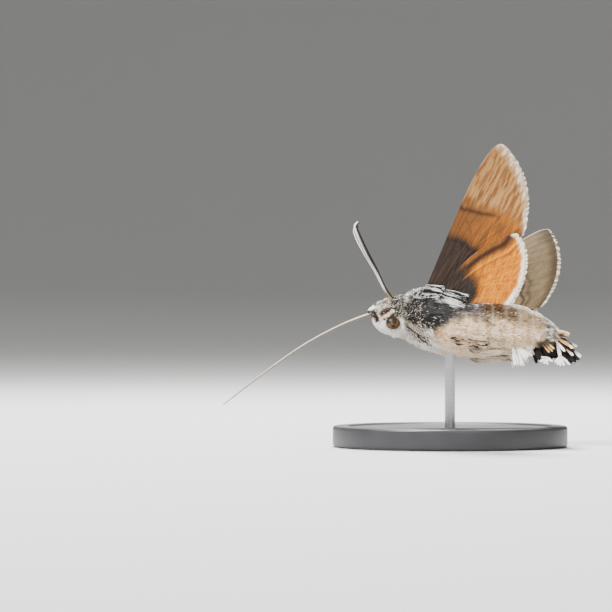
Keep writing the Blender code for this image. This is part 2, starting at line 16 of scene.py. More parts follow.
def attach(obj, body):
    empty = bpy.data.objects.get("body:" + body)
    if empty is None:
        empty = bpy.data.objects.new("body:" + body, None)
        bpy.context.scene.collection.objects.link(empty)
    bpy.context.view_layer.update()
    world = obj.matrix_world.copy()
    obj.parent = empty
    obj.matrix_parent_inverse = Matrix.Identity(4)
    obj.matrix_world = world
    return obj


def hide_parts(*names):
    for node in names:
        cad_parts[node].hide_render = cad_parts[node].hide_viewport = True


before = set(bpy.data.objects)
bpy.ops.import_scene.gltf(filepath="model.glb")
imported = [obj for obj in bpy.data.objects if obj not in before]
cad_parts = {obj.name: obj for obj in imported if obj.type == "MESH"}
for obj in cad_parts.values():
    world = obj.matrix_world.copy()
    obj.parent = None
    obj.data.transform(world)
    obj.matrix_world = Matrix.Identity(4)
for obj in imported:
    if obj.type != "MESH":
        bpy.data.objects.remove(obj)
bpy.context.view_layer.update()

bl_info = {
    "name": "Hummingbird Hawk Moth",
    "version": (1, 0, 0),
    "blender": (4, 5, 0),
    "location": "View3D > Sidebar > Hawk Moth",
    "description": "Dresses a life-size hovering hawk moth with its coat, wings and display stand",
    "category": "Add Mesh",
}

MM = 0.001
SIDES = (("left", -1.0), ("right", 1.0))

# The trunk's long axis and the bank of the trunk and of the head about it, left side up.
BODY_AXIS = np.array((1.45, 1.3, 17.5))
TRUNK_BANK = math.radians(18.0)
HEAD_BANK = math.radians(3.0)

# Cross-sections of the trunk: place along it, height of the middle, half height, half width.
TRUNK = (
    (-9.0, 1.3, 2.7, 2.5),
    (-8.0, 1.3, 3.2, 3.0),
    (-7.2, 1.3, 3.75, 3.5),
    (-5.6, 1.15, 4.4, 4.2),
    (-4.0, 1.0, 4.75, 4.5),
    (-2.0, 0.5, 4.8, 4.5),
    (0.7, -0.15, 4.35, 4.15),
    (2.9, -0.6, 3.95, 4.0),
    (6.0, -0.5, 3.65, 4.05),
    (8.7, -0.7, 3.4, 3.8),
    (10.8, -1.15, 2.95, 3.3),
    (12.4, -1.55, 2.35, 2.7),
    (13.6, -2.0, 1.7, 2.0),
    (14.7, -2.4, 1.3, 1.6),
)
TAIL_X = 14.7
TAIL_DOME = 1.2
WAIST_X = 0.95
SEGMENT_LENGTH = 1.95
SEGMENT_RISE = 0.03

# Cross-sections of the head, measured from the middle of the neck.
NECK = np.array((-8.2, 0.0, 1.35))
NECK_BLEND = (-8.9, -7.3)
HEAD = (
    (-4.45, 0.85, 1.0, 0.9),
    (-3.6, 0.72, 1.55, 1.4),
    (-2.8, 0.4, 2.15, 1.95),
    (-1.8, 0.15, 2.65, 2.4),
    (-0.8, 0.1, 3.0, 2.7),
    (0.4, 0.08, 3.3, 3.0),
)
FACE_X = -12.65
HEAD_DOME = 1.0

EYE = np.array((-1.5, 1.93, -0.98))
EYE_RADII = (1.07, 0.98, 0.95)

PALP_PATH = (
    (-0.9, 0.95, -2.05),
    (-2.2, 1.05, -1.85),
    (-3.3, 0.95, -1.1),
    (-3.95, 0.8, 0.0),
    (-4.1, 0.65, 0.85),
)
PALP_RADII = (0.5, 0.7, 0.74, 0.6, 0.26)

# Paint chart of the coat.
CHARCOAL = (34, 33, 34)
GRAPHITE = (66, 63, 64)
SMOKE = (92, 86, 80)
GREY = (182, 174, 164)
CREAM = (248, 234, 208)
PINK_CREAM = (248, 232, 220)
PEACH = (255, 226, 192)
WHITE = (255, 253, 248)
BEIGE = (228, 192, 142)
TAN = (214, 164, 100)
BROWN = (108, 82, 54)
UMBER = (54, 38, 32)
BLACK = (12, 11, 11)


def chart(colour):
    """A paint chart colour as linear light."""
    value = np.asarray(colour, float) / 255.0
    return np.where(value <= 0.04045, value / 12.92, ((value + 0.055) / 1.055) ** 2.4)


def mix(start, end, share):
    """A value between two, by the share of the second."""
    return start + (end - start) * share


def smooth_step(low, high, value):
    """Rises smoothly from 0 at the low value to 1 at the high one."""
    share = np.clip((value - low) / (high - low), 0.0, 1.0)
    return share * share * (3.0 - 2.0 * share)


def smooth_values(rows, x):
    """Values at each x on smooth curves through rows that start with their own x."""
    rows = np.asarray(rows, float)
    xs = rows[:, 0]
    last = len(xs) - 1
    before = np.maximum(np.arange(len(xs)) - 1, 0)
    after = np.minimum(np.arange(len(xs)) + 1, last)
    slopes = (rows[after, 1:] - rows[before, 1:]) / (xs[after] - xs[before])[:, None]
    x = np.clip(np.asarray(x, float), xs[0], xs[last])
    i = np.clip(np.searchsorted(xs, x, side="right") - 1, 0, last - 1)
    step = (xs[i + 1] - xs[i])[:, None]
    u = (x - xs[i])[:, None] / step
    values = rows[i, 1:] * (2 * u**3 - 3 * u**2 + 1) + slopes[i] * step * (u**3 - 2 * u**2 + u)
    values += rows[i + 1, 1:] * (3 * u**2 - 2 * u**3) + slopes[i + 1] * step * (u**3 - u**2)
    return values.T


def smooth_path(points, radii, count):
    """Evenly numbered points and radii on a smooth curve through a few given ones."""
    rows = [(k, *point, radius) for k, (point, radius) in enumerate(zip(points, radii))]
    values = smooth_values(rows, np.linspace(0.0, len(rows) - 1.0, count))
    return values[:3].T, values[3]


def unit(vectors):
    """Vectors of length 1 with the same directions."""
    return vectors / np.maximum(np.linalg.norm(vectors, axis=-1, keepdims=True), 1e-9)


def points_3d(points):
    """Points of a plan with a third coordinate of 0."""
    return np.column_stack((points, np.zeros(len(points))))


def lattice(x, y, z, seed):
    """A fixed random value from 0 to 1 for each whole-numbered place."""
    value = (x * 374761393 + y * 668265263 + z * 1274126177 + seed * 974634777) & 0xFFFFFFFF
    value = ((value ^ (value >> 13)) * 1274126177) & 0xFFFFFFFF
    return ((value ^ (value >> 16)) & 0xFFFF) / 65535.0


def mottle(points, size, seed):
    """Smooth random values from 0 to 1, in patches of about a size."""
    scaled = np.asarray(points) / size
    cell = np.floor(scaled).astype(np.int64)
    part = scaled - cell
    part = part * part * (3.0 - 2.0 * part)
    total = np.zeros(len(scaled))
    for corner in range(8):
        step = np.array((corner & 1, corner >> 1 & 1, corner >> 2 & 1))
        weight = np.prod(np.where(step, part, 1.0 - part), axis=1)
        total += weight * lattice(*(cell + step).T, seed)
    return total


def turned(points, bank):
    """Points turned about the long axis, with the left side up for a positive bank."""
    x, y, z = points.T
    return np.column_stack((x, y * np.cos(bank) + z * np.sin(bank), z * np.cos(bank) - y * np.sin(bank)))


def dome(distance, depth):
    """How much of the full section a dome has at a distance from its end."""
    share = np.clip(distance / depth, 0.0, 1.0)
    return np.sqrt(1.0 - (1.0 - share) ** 2)


def body_section(x):
    """Middle, half height, half width and bank of the body at places along it."""
    x = np.asarray(x, float)
    nothing = np.zeros_like(x)
    head_middle, head_height, head_width = smooth_values(HEAD, x - NECK[0])
    middle, height, width = smooth_values(TRUNK, x)
    swell = 1.0 + np.where(x > WAIST_X, SEGMENT_RISE * (((x - WAIST_X) / SEGMENT_LENGTH) % 1.0 - 0.5), 0.0)
    share = smooth_step(*NECK_BLEND, x)
    neck = turned(NECK[None, :], TRUNK_BANK)[0]
    head = neck + turned(np.column_stack((x - NECK[0], nothing, head_middle)), HEAD_BANK)
    trunk = turned(np.column_stack((x, nothing, middle)), TRUNK_BANK)
    centre = BODY_AXIS + mix(head, trunk, share[:, None])
    half_height = mix(head_height, height * swell, share)
    half_width = mix(head_width, width * swell, share)
    return centre, half_height, half_width, mix(HEAD_BANK, TRUNK_BANK, share)


def body_point(x, around, lift):
    """Points of the body by place along, angle around from the right side up, and height over the coat."""
    centre, half_height, half_width, bank = body_section(x)
    ends = np.minimum(dome(x - FACE_X + lift, HEAD_DOME + lift), dome(TAIL_X + lift - x, TAIL_DOME + lift))
    out = (half_width + lift) * ends * np.cos(around)
    up = (half_height + lift) * ends * np.sin(around)
    return centre + turned(np.column_stack((np.zeros_like(out), out, up)), bank)


def body_frame(x, around, lift):
    """Points of the body with their outward, backward and round directions."""
    step = 0.01
    points = body_point(x, around, lift)
    back = unit(body_point(x + step, around, lift) - body_point(x - step, around, lift))
    turn = unit(body_point(x, around + step, lift) - body_point(x, around - step, lift))
    out = unit(np.cross(turn, back))
    return points, out, back, unit(np.cross(back, out))


def body_place(points):
    """Place along the body and angle around it of points near its surface."""
    x = points[:, 0] - BODY_AXIS[0]
    centre, half_height, half_width, bank = body_section(x)
    offset = turned(points - centre, -bank)
    return x, np.arctan2(offset[:, 2] / half_height, offset[:, 1] / half_width)


def from_head(points):
    """World points for points measured from the middle of the neck."""
    points = np.asarray(points, float).reshape(-1, 3)
    return BODY_AXIS + turned(NECK[None, :], TRUNK_BANK) + turned(points, HEAD_BANK)


def to_head(points):
    """Points measured from the middle of the neck for world points."""
    return turned(points - BODY_AXIS - turned(NECK[None, :], TRUNK_BANK), -HEAD_BANK)


def elevation(around):
    """Degrees above the side, from -90 at the belly to 90 at the back, alike on both sides."""
    return np.degrees(np.arctan2(np.sin(around), np.abs(np.cos(around))))


# Marks of the head seen from its side: start, end, half width, softness and colour, in painting order.
HEAD_MARKS = (
    ((-4.9, 1.2), (-3.7, 1.25), 0.3, 0.4, WHITE),
    ((-4.35, 0.5), (-3.7, -0.6), 0.34, 0.3, UMBER),
    ((-3.6, 0.75), (-3.35, -0.4), 0.11, 0.12, CREAM),
    ((-3.1, 0.4), (-2.2, 0.86), 0.38, 0.28, UMBER),
    ((-3.3, -0.48), (-2.35, 0.06), 0.22, 0.14, PEACH),
    ((-2.35, 0.06), (-1.5, 0.8), 0.21, 0.14, PEACH),
    ((-2.8, -0.5), (-1.1, 0.06), 0.15, 0.12, UMBER),
)
EYE_RING = (1.1, 1.5)
MARK_RAGGED = 0.36

# Patches of the thorax: place along and degrees above the side as millimetres.
DEGREE_WIDTH = 0.075
TRUNK_MARKS = (((-4.8, 0.25), (-1.6, 0.1), 0.85, 1.3, GRAPHITE),)
FLECK = 0.11
# Turn of the throat's hair down from the body's long axis, in radians.
THROAT_SLANT = 0.55


def painted(colours, marks, along, across):
    """Colours with soft-edged marks painted over them."""
    for start, end, half_width, softness, colour in marks:
        start = np.array(start)
        line = np.array(end) - start
        offset = np.column_stack((along, across)) - start
        share = np.clip(offset @ line / (line @ line), 0.0, 1.0)
        distance = np.linalg.norm(offset - share[:, None] * line, axis=1)
        cover = 1.0 - smooth_step(half_width - softness / 2, half_width + softness / 2, distance)
        colours = mix(colours, chart(colour), cover[:, None])
    return colours


def flecked(colours, colour, points, size, share, seed):
    """Colours with small flecks of another one over a share of the surface."""
    wave = 0.5 * mottle(points, size, seed) + 0.5 * mottle(points, size * 0.45, seed + 1)
    cover = smooth_step(0.0, 0.1, share * 0.56 + 0.22 - wave)
    return mix(colours, chart(colour), cover[:, None])


def head_colours(points):
    """Coat colours of the head at world points."""
    place = to_head(points)
    along = place[:, 0] + MARK_RAGGED * (mottle(points, 0.15, 15) - 0.5)
    up = place[:, 2] + MARK_RAGGED * (mottle(points, 0.15, 16) - 0.5)
    colours = np.tile(chart(UMBER), (len(points), 1))
    rear = smooth_step(-2.3, -1.5, along)
    colours = mix(colours, chart(CHARCOAL), rear[:, None])
    colours = flecked(colours, CREAM, points, FLECK, 0.46 - 0.16 * rear, 11)
    colours = flecked(colours, WHITE, points, FLECK, 0.36 - 0.22 * rear, 12)
    low = 1.0 - smooth_step(-0.9, -0.1, up + 0.5 * (mottle(points, 0.5, 13) - 0.5))
    light = mix(chart(PINK_CREAM), chart(WHITE), mottle(points, 0.4, 17)[:, None])
    colours = mix(colours, light, low[:, None])
    colours = painted(colours, HEAD_MARKS, along, up)
    colours = flecked(colours, PEACH, points, FLECK, 0.14 * (1.0 - low), 18)
    from_eye = np.linalg.norm((place - EYE * (1.0, 0.0, 1.0))[:, (0, 2)], axis=1)
    side = smooth_step(0.9, 1.4, np.abs(place[:, 1]))
    behind = smooth_step(-2.2, -1.4, along) * (1.0 - smooth_step(-0.5, 0.1, up))
    ring = (1.0 - smooth_step(*EYE_RING, from_eye)) * side * behind
    return mix(colours, chart(WHITE), ring[:, None])


def throat(x, above):
    """Share of the throat's slanting hair at places along the body and degrees above its side."""
    share = smooth_step(-8.9, -8.0, x) * (1.0 - smooth_step(-4.8, -3.4, x))
    return share * smooth_step(-84.0, -70.0, above) * (1.0 - smooth_step(-30.0, -18.0, above))


def trunk_colours(points, x, around):
    """Coat colours of the thorax and abdomen at world points."""
    above = elevation(around)
    ragged = above + 26.0 * (mottle(points, 0.7, 21) - 0.5)
    lines = points * (0.16, 1.0, 1.0)
    colours = np.tile(chart(CHARCOAL), (len(points), 1))
    front = 1.0 - smooth_step(-6.4, -4.4, x)
    crest = smooth_step(14.0, 30.0, above)
    colours = flecked(colours, GREY, points, FLECK, (0.2 + 0.08 * front) * (1.0 - 0.6 * crest), 22)
    colours = flecked(colours, CREAM, points, FLECK, (0.12 + 0.18 * front) * (1.0 - 0.6 * crest), 23)
    colours = painted(colours, TRUNK_MARKS, x + 0.8 * (mottle(points, 0.4, 26) - 0.5), ragged * DEGREE_WIDTH)
    haze = mix(chart(SMOKE), chart(GREY), 0.25)
    colours = mix(colours, haze, (0.75 * smooth_step(-1.4, 0.6, x))[:, None])
    back = smooth_step(66.0, 84.0, above)
    colours = mix(colours, chart(SMOKE), (0.6 * back)[:, None])
    crest *= 0.46 + 0.16 * smooth_step(40.0, 60.0, above) - 0.3 * back
    colours = flecked(colours, WHITE, lines, 0.14, crest, 27)
    belly = 1.0 - smooth_step(-48.0, -34.0, ragged)
    low = mix(chart(PINK_CREAM), chart(WHITE), mottle(points, 0.5, 24)[:, None])
    colours = mix(colours, low, belly[:, None])
    slanted = np.column_stack((above * DEGREE_WIDTH + math.tan(THROAT_SLANT) * x, 0.07 * x))
    colours = flecked(colours, UMBER, points_3d(slanted), 0.13, 0.52 * throat(x, above), 25)
    tan = smooth_step(-4.3, -3.0, x) * (1.0 - smooth_step(-1.8, -0.4, x))
    tan *= smooth_step(-66.0, -50.0, ragged) * (1.0 - smooth_step(-38.0, -22.0, ragged))
    colours = mix(colours, chart(TAN), (0.85 * tan)[:, None])
    leg_shade = smooth_step(-2.2, -0.8, x) * (1.0 - smooth_step(3.6, 5.4, x))
    leg_shade *= smooth_step(-72.0, -58.0, ragged) * (1.0 - smooth_step(-44.0, -30.0, ragged))
    abdomen = abdomen_colours(points, x, above, ragged)
    behind = smooth_step(-1.0, 1.2, x + 0.15 - 0.085 * np.maximum(above, -32.0))
    colours = mix(colours, abdomen, behind[:, None])
    return flecked(colours, UMBER, lines, 0.2, 0.62 * leg_shade, 28)


def abdomen_colours(points, x, above, ragged):
    """Coat colours of the abdomen: brown above, beige on the flank and cream below, with a painted white rim
    light along the upper flank of the rear.
    """
    colours = mix(chart(PEACH), chart(BEIGE), (0.7 * smooth_step(-40.0, 6.0, ragged))[:, None])
    low = smooth_step(-64.0, -48.0, ragged) * (1.0 - smooth_step(-40.0, -26.0, ragged))
    colours = mix(colours, chart(TAN), (0.4 * low)[:, None])
    brown = smooth_step(-12.0, 10.0, ragged) * (1.0 - 0.6 * smooth_step(7.5, 9.5, x))
    shaded = mix(chart(SMOKE), chart(BROWN), smooth_step(1.0, 6.0, x)[:, None])
    colours = mix(colours, shaded, (0.85 * brown)[:, None])
    fine = points * (0.5, 1.0, 1.0)
    colours = flecked(colours, UMBER, fine, FLECK, 0.05 + 0.25 * brown, 31)
    colours = flecked(colours, WHITE, fine, FLECK, 0.2, 32)
    edge = ((x - WAIST_X) / SEGMENT_LENGTH) % 1.0
    colours = mix(colours, chart(CREAM), (0.4 * smooth_step(0.72, 0.94, edge))[:, None])
    # Painted rim light: white along the upper flank of the rear abdomen, less on the very top, standing in
    # for light from behind.
    rim = smooth_step(5.2, 7.6, x) * smooth_step(34.0, 46.0, ragged)
    hair = smooth_step(0.3, 0.7, mottle(points * (0.25, 1.0, 1.0), 0.22, 33))
    rim_light_cover = smooth_step(-0.9, 0.3, hair - smooth_step(66.0, 84.0, above))
    painted_rim_light = mix(chart(BROWN), chart(WHITE), rim_light_cover[:, None])
    colours = mix(colours, painted_rim_light, (0.78 * rim)[:, None])
    rear = smooth_step(11.6, 12.8, x) * smooth_step(-50.0, -30.0, above) * (1.0 - 0.9 * rim)
    colours = mix(colours, mix(chart(SMOKE), chart(WHITE), hair[:, None]), (0.8 * rear)[:, None])
    dark = smooth_step(10.4, 11.4, x) * (1.0 - smooth_step(-44.0, -26.0, ragged))
    return mix(colours, chart(BLACK), (0.92 * dark)[:, None])


def coat_colours(points):
    """Coat colours at world points near the body's surface."""
    x, around = body_place(points)
    share = smooth_step(-8.5, -7.7, x + 0.5 * (mottle(points, 0.5, 14) - 0.5))
    return mix(head_colours(points), trunk_colours(points, x, around), share[:, None])


def mesh_from_arrays(name, points, corners, starts, colours=None, bake=None):
    """Mesh object from arrays of points in millimetres and faces, with its colours and bake map."""
    mesh = bpy.data.meshes.new(name)
    mesh.vertices.add(len(points))
    mesh.vertices.foreach_set("co", (points * MM).astype(np.float32).ravel())
    mesh.loops.add(len(corners))
    mesh.loops.foreach_set("vertex_index", corners.astype(np.int32))
    mesh.polygons.add(len(starts))
    mesh.polygons.foreach_set("loop_start", starts.astype(np.int32))
    mesh.update(calc_edges=True)
    if colours is not None:
        paint(mesh, colours)
    if bake is not None:
        layer = mesh.uv_layers.new(name="OFBake")
        layer.uv.foreach_set("vector", bake[corners].astype(np.float32).ravel())
    item = bpy.data.objects.new(name, mesh)
    bpy.context.scene.collection.objects.link(item)
    return item


def paint(mesh, colours):
    """Gives a mesh its marking colours, one for each point."""
    layer = mesh.color_attributes.new(name="Marking", type="FLOAT_COLOR", domain="POINT")
    solid = np.column_stack((colours, np.ones(len(colours))))
    layer.data.foreach_set("color", solid.astype(np.float32).ravel())
    mesh.color_attributes.active_color = layer


def mesh_points(item):
    """An object's points in millimetres."""
    values = np.empty(len(item.data.vertices) * 3, np.float32)
    item.data.vertices.foreach_get("co", values)
    return values.reshape(-1, 3).astype(float) / MM


def set_points(item, points):
    """Moves an object's points, given in millimetres."""
    item.data.vertices.foreach_set("co", (points * MM).astype(np.float32).ravel())
    item.data.update()


def finish_piece(item, material, nodes=(), smooth=True):
    """Gives a piece its material and its place in the model."""
    item.data.materials.clear()
    item.data.materials.append(material)
    if smooth is not None:
        (item.data.shade_smooth if smooth else item.data.shade_flat)()
    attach(item, "root")
    if nodes:
        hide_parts(*nodes)
    return item


# Strands

# A strand's rings: share of its length, share of its width, keel for its width, brightness. The brightness is
# painted shade towards the root, deep in the coat, and a painted highlight at the tip.
# The last is its tip.
HAIR = ((-0.06, 0.7, 0.42, 0.5), (0.4, 1.0, 0.42, 0.82), (0.78, 0.72, 0.42, 1.0), (1.0, 0.0, 0.0, 1.08))
VANE = (
    (-0.04, 0.35, 0.2, 0.6),
    (0.3, 0.7, 0.16, 0.85),
    (0.62, 1.0, 0.12, 1.0),
    (0.86, 0.98, 0.12, 1.04),
    (0.97, 0.66, 0.12, 1.06),
    (1.01, 0.0, 0.0, 1.06),
)
BAKE_PATCH = 0.003


def strands(name, profile, roots, normals, lies, lengths, widths, lifts, drops, colours, tips, bake):
    """One mesh of keeled, tapered strands rooted in a surface and lying along it.

    Each strand rises by its lift and bends back by its drop, both as shares of its length.
    """
    across = unit(np.cross(normals, lies))
    lies = unit(np.cross(across, normals))
    rings = len(profile) - 1
    points = np.empty((len(roots), 3 * rings + 1, 3))
    for j, (share, width, keel, _) in enumerate(profile):
        rise = lifts * share - drops * share * share
        middle = roots + lies * (lengths * share)[:, None] + normals * (lengths * rise)[:, None]
        if j == rings:
            points[:, -1] = middle
            break
        half = across * (0.5 * widths * width)[:, None]
        points[:, 3 * j] = middle - half
        points[:, 3 * j + 1] = middle + half
        points[:, 3 * j + 2] = middle + normals * (keel * widths * width)[:, None]
    faces = [(0, 2, 1)]
    for j in range(rings - 1):
        for a, b in ((0, 1), (1, 2), (2, 0)):
            faces.append((3 * j + a, 3 * j + b, 3 * j + 3 + b, 3 * j + 3 + a))
    top = 3 * (rings - 1)
    faces.extend((top + a, top + b, 3 * rings) for a, b in ((0, 1), (1, 2), (2, 0)))
    corners, starts = repeated(faces, len(roots), 3 * rings + 1)
    shares, _, _, shades = np.array(profile).T
    ring_of_point = np.append(np.repeat(np.arange(rings), 3), rings)
    reach = smooth_step(0.3, 0.75, shares[ring_of_point])[None, :, None]
    # Each ring's brightness paints shade towards the root and a highlight at the tip.
    shaded = mix(colours[:, None, :], tips[:, None, :], reach) * shades[ring_of_point][None, :, None]
    shaded = np.clip(shaded, 0.0, 1.0)
    wide = np.append(np.tile((0.0, 1.0, 0.5), rings), 0.5)
    patch = np.stack((shares[ring_of_point], wide), axis=1) * BAKE_PATCH
    uv = (bake[:, None, :] + patch[None, :, :]).reshape(-1, 2)
    return mesh_from_arrays(name, points.reshape(-1, 3), corners, starts, shaded.reshape(-1, 3), uv)


def repeated(faces, count, points_each):
    """Face corners and face starts for copies of one small mesh."""
    corners = np.concatenate([np.array(face) for face in faces])
    sizes = np.array([len(face) for face in faces])
    shift = np.repeat(np.arange(count) * points_each, len(corners))
    starts = np.concatenate(((0,), np.cumsum(np.tile(sizes, count))[:-1]))
    return np.tile(corners, count) + shift, starts


def path_frames(points):
    """Forward, sideways and upward directions along a path."""
    forward = unit(np.gradient(points, axis=0))
    reference = np.array((0.0, 1.0, 0.0)) if abs(forward[:, 1]).max() < 0.9 else np.array((0.0, 0.0, 1.0))
    side = unit(np.cross(reference, forward))
    return forward, side, np.cross(forward, side)


def tube_surface(path, radii, share, around, lift=0.0):
    """Points, outward and forward directions on a round tube by share of its length and angle around it."""
    forward, side, up = path_frames(path)
    steps = np.linspace(0.0, 1.0, len(path))

    def at(values):
        return np.column_stack([np.interp(share, steps, column) for column in values.T])

    out = unit(at(side) * np.cos(around)[:, None] + at(up) * np.sin(around)[:, None])
    size = np.interp(share, steps, radii) + lift
    return at(path) + out * size[:, None], out, unit(at(forward))


def tube_object(name, path, radii, sides=16):
    """Closed round tube through the points in millimetres, with a radius at each."""
    curve = bpy.data.curves.new(name, "CURVE")
    curve.dimensions = "3D"
    curve.bevel_depth = MM
    curve.bevel_resolution = sides // 4 - 1
    curve.use_fill_caps = True
    spline = curve.splines.new("POLY")
    spline.points.add(len(path) - 1)
    for point, centre, size in zip(spline.points, path, radii):
        point.co = (*(centre * MM), 1.0)
        point.radius = size
    item = bpy.data.objects.new(name, curve)
    bpy.context.scene.collection.objects.link(item)
    select_only(item)
    bpy.ops.object.convert(target="MESH")
    item = bpy.context.object
    merge_doubles(item)
    return item


def select_only(*items):
    """Selects these objects alone, with the first one active."""
    bpy.ops.object.select_all(action="DESELECT")
    for item in items:
        item.select_set(True)
    bpy.context.view_layer.objects.active = items[0]


def merge_doubles(item):
    """Merges touching points and turns all faces outwards."""
    select_only(item)
    bpy.ops.object.mode_set(mode="EDIT")
    bpy.ops.mesh.select_all(action="SELECT")
    bpy.ops.mesh.remove_doubles(threshold=0.001 * MM)
    bpy.ops.mesh.normals_make_consistent(inside=False)
    bpy.ops.object.mode_set(mode="OBJECT")


def join_pieces(name, items):
    """One object from several."""
    select_only(*items)
    bpy.ops.object.join()
    item = bpy.context.object
    item.name = name
    item.data.name = name
    return item


def apply_modifier(item, kind, **settings):
    """Adds a modifier, sets it and applies it."""
    modifier = item.modifiers.new(kind.title(), kind)
    for key, value in settings.items():
        setattr(modifier, key, value)
    select_only(item)
    bpy.ops.object.modifier_apply(modifier=modifier.name)


# Skin

COAT_DEPTH = (
    (-12.65, 0.16),
    (-10.6, 0.22),
    (-8.6, 0.32),
    (-6.6, 0.5),
    (-1.0, 0.5),
    (2.0, 0.38),
    (9.0, 0.34),
    (12.9, 0.34),
    (14.7, 0.5),
)
PALP_DEPTH = 0.12
SKIN_SIDES = 120
SKIN_RINGS = 180
SKIN_VOXEL = 0.13
# Painted shade: how much darker the skin under the coat is than the coat itself.
SKIN_SHADE = 0.55


def coat_depth(x):
    """Depth of the coat along the body."""
    return smooth_values(COAT_DEPTH, x)[0]


def palp_path(side):
    """World path and radii of one palp."""
    path, radii = smooth_path(PALP_PATH, PALP_RADII, 24)
    return from_head(path * (1.0, side, 1.0)), radii


def build_skin():
    """One seamless skin under the coat, from the face and palps to the tail."""
    bpy.ops.object.select_all(action="DESELECT")
    bpy.ops.mesh.primitive_uv_sphere_add(segments=SKIN_SIDES, ring_count=SKIN_RINGS, radius=MM)
    body = bpy.context.object
    sphere = mesh_points(body)
    share = np.arccos(np.clip(sphere[:, 2], -1.0, 1.0)) / math.pi
    around = np.arctan2(sphere[:, 1], sphere[:, 0])
    start = FACE_X + COAT_DEPTH[0][1]
    end = TAIL_X - COAT_DEPTH[-1][1]
    x = mix(start, end, share)
    set_points(body, body_point(x, around, -coat_depth(x)))
    merge_doubles(body)
    parts = [body]
    for name, side in SIDES:
        path, radii = palp_path(side)
        parts.append(tube_object("palp_core_" + name, path, radii - PALP_DEPTH))
    skin = join_pieces("skin", parts)
    apply_modifier(skin, "REMESH", mode="VOXEL", voxel_size=SKIN_VOXEL * MM)
    apply_modifier(skin, "SMOOTH", factor=0.5, iterations=4)
    # Painted shade: the skin takes the coat's colours darkened, as the shade deep between the hairs.
    paint(skin.data, coat_colours(mesh_points(skin)) * SKIN_SHADE)
    nodes = ("head", "palp_left", "palp_right", "thorax", "abdomen_front", "abdomen_middle", "abdomen_rear")
    finish_piece(skin, coat_material("skin_undercoat", 0.9), nodes)


# Eyes

def build_eyes(eye):
    """Two domed compound eyes."""
    for name, side in SIDES:
        bpy.ops.object.select_all(action="DESELECT")
        bpy.ops.mesh.primitive_ico_sphere_add(subdivisions=6, radius=MM)
        item = bpy.context.object
        item.name = "eyeball_" + name
        place = mesh_points(item) * EYE_RADII + EYE * (1.0, side, 1.0)
        set_points(item, from_head(place))
        finish_piece(item, eye_material(eye, side), ("eye_" + name,))


# Coat

BAKE_MARGIN = 0.005
BAKE_BODY = 0.86
SHOULDER_HAIRS = 3200
WING_ROOT_HAIRS = 1700
PALP_HAIRS = 2600
EYE_GAP = 1.06
THORAX_CLOSENESS = 0.9


def coat_roots(first, last, spacing, draw):
    """Evenly spread root places along and around the body."""
    fine = np.linspace(first, last, 1500)
    _, height, width, _ = body_section(fine)
    ends = np.minimum(dome(fine - FACE_X, HEAD_DOME), dome(TAIL_X - fine, TAIL_DOME))
    radius = 0.5 * (height + width) * ends
    run = np.concatenate(((0.0,), np.cumsum(np.hypot(np.diff(fine), np.diff(radius)))))
    rows = int(run[-1] / spacing)
    middles = np.interp((np.arange(rows) + 0.5) * run[-1] / rows, run, fine)
    counts = np.maximum((2.0 * math.pi * np.interp(middles, fine, radius) / spacing).astype(int), 3)
    row = np.repeat(np.arange(rows), counts)
    place = np.arange(len(row)) - np.repeat(np.cumsum(counts) - counts, counts)
    around = 2.0 * math.pi * (place + draw.uniform(size=len(row))) / counts[row] - math.pi
    x = np.interp((row + draw.uniform(size=len(row))) * run[-1] / rows, run, fine)
    return x, around


def body_bake(x, around):
    """Where a root lies on the unwrap of the body's own shape."""
    along = BAKE_MARGIN + BAKE_BODY * (x - FACE_X) / (TAIL_X - FACE_X)
    turn = BAKE_MARGIN + (around / (2.0 * math.pi) % 1.0) * (1.0 - 3.0 * BAKE_MARGIN)
    return np.column_stack((along, turn))


def eye_offset(points):
    """Distance from the nearer eye's middle as a share of its radius, and the way from it."""
    place = to_head(points)
    level = np.ones(len(place))
    centre = EYE * np.column_stack((level, np.sign(place[:, 1]), level))
    away = (place - centre) / EYE_RADII
    return np.linalg.norm(away, axis=1), turned(unit(place - centre), HEAD_BANK)


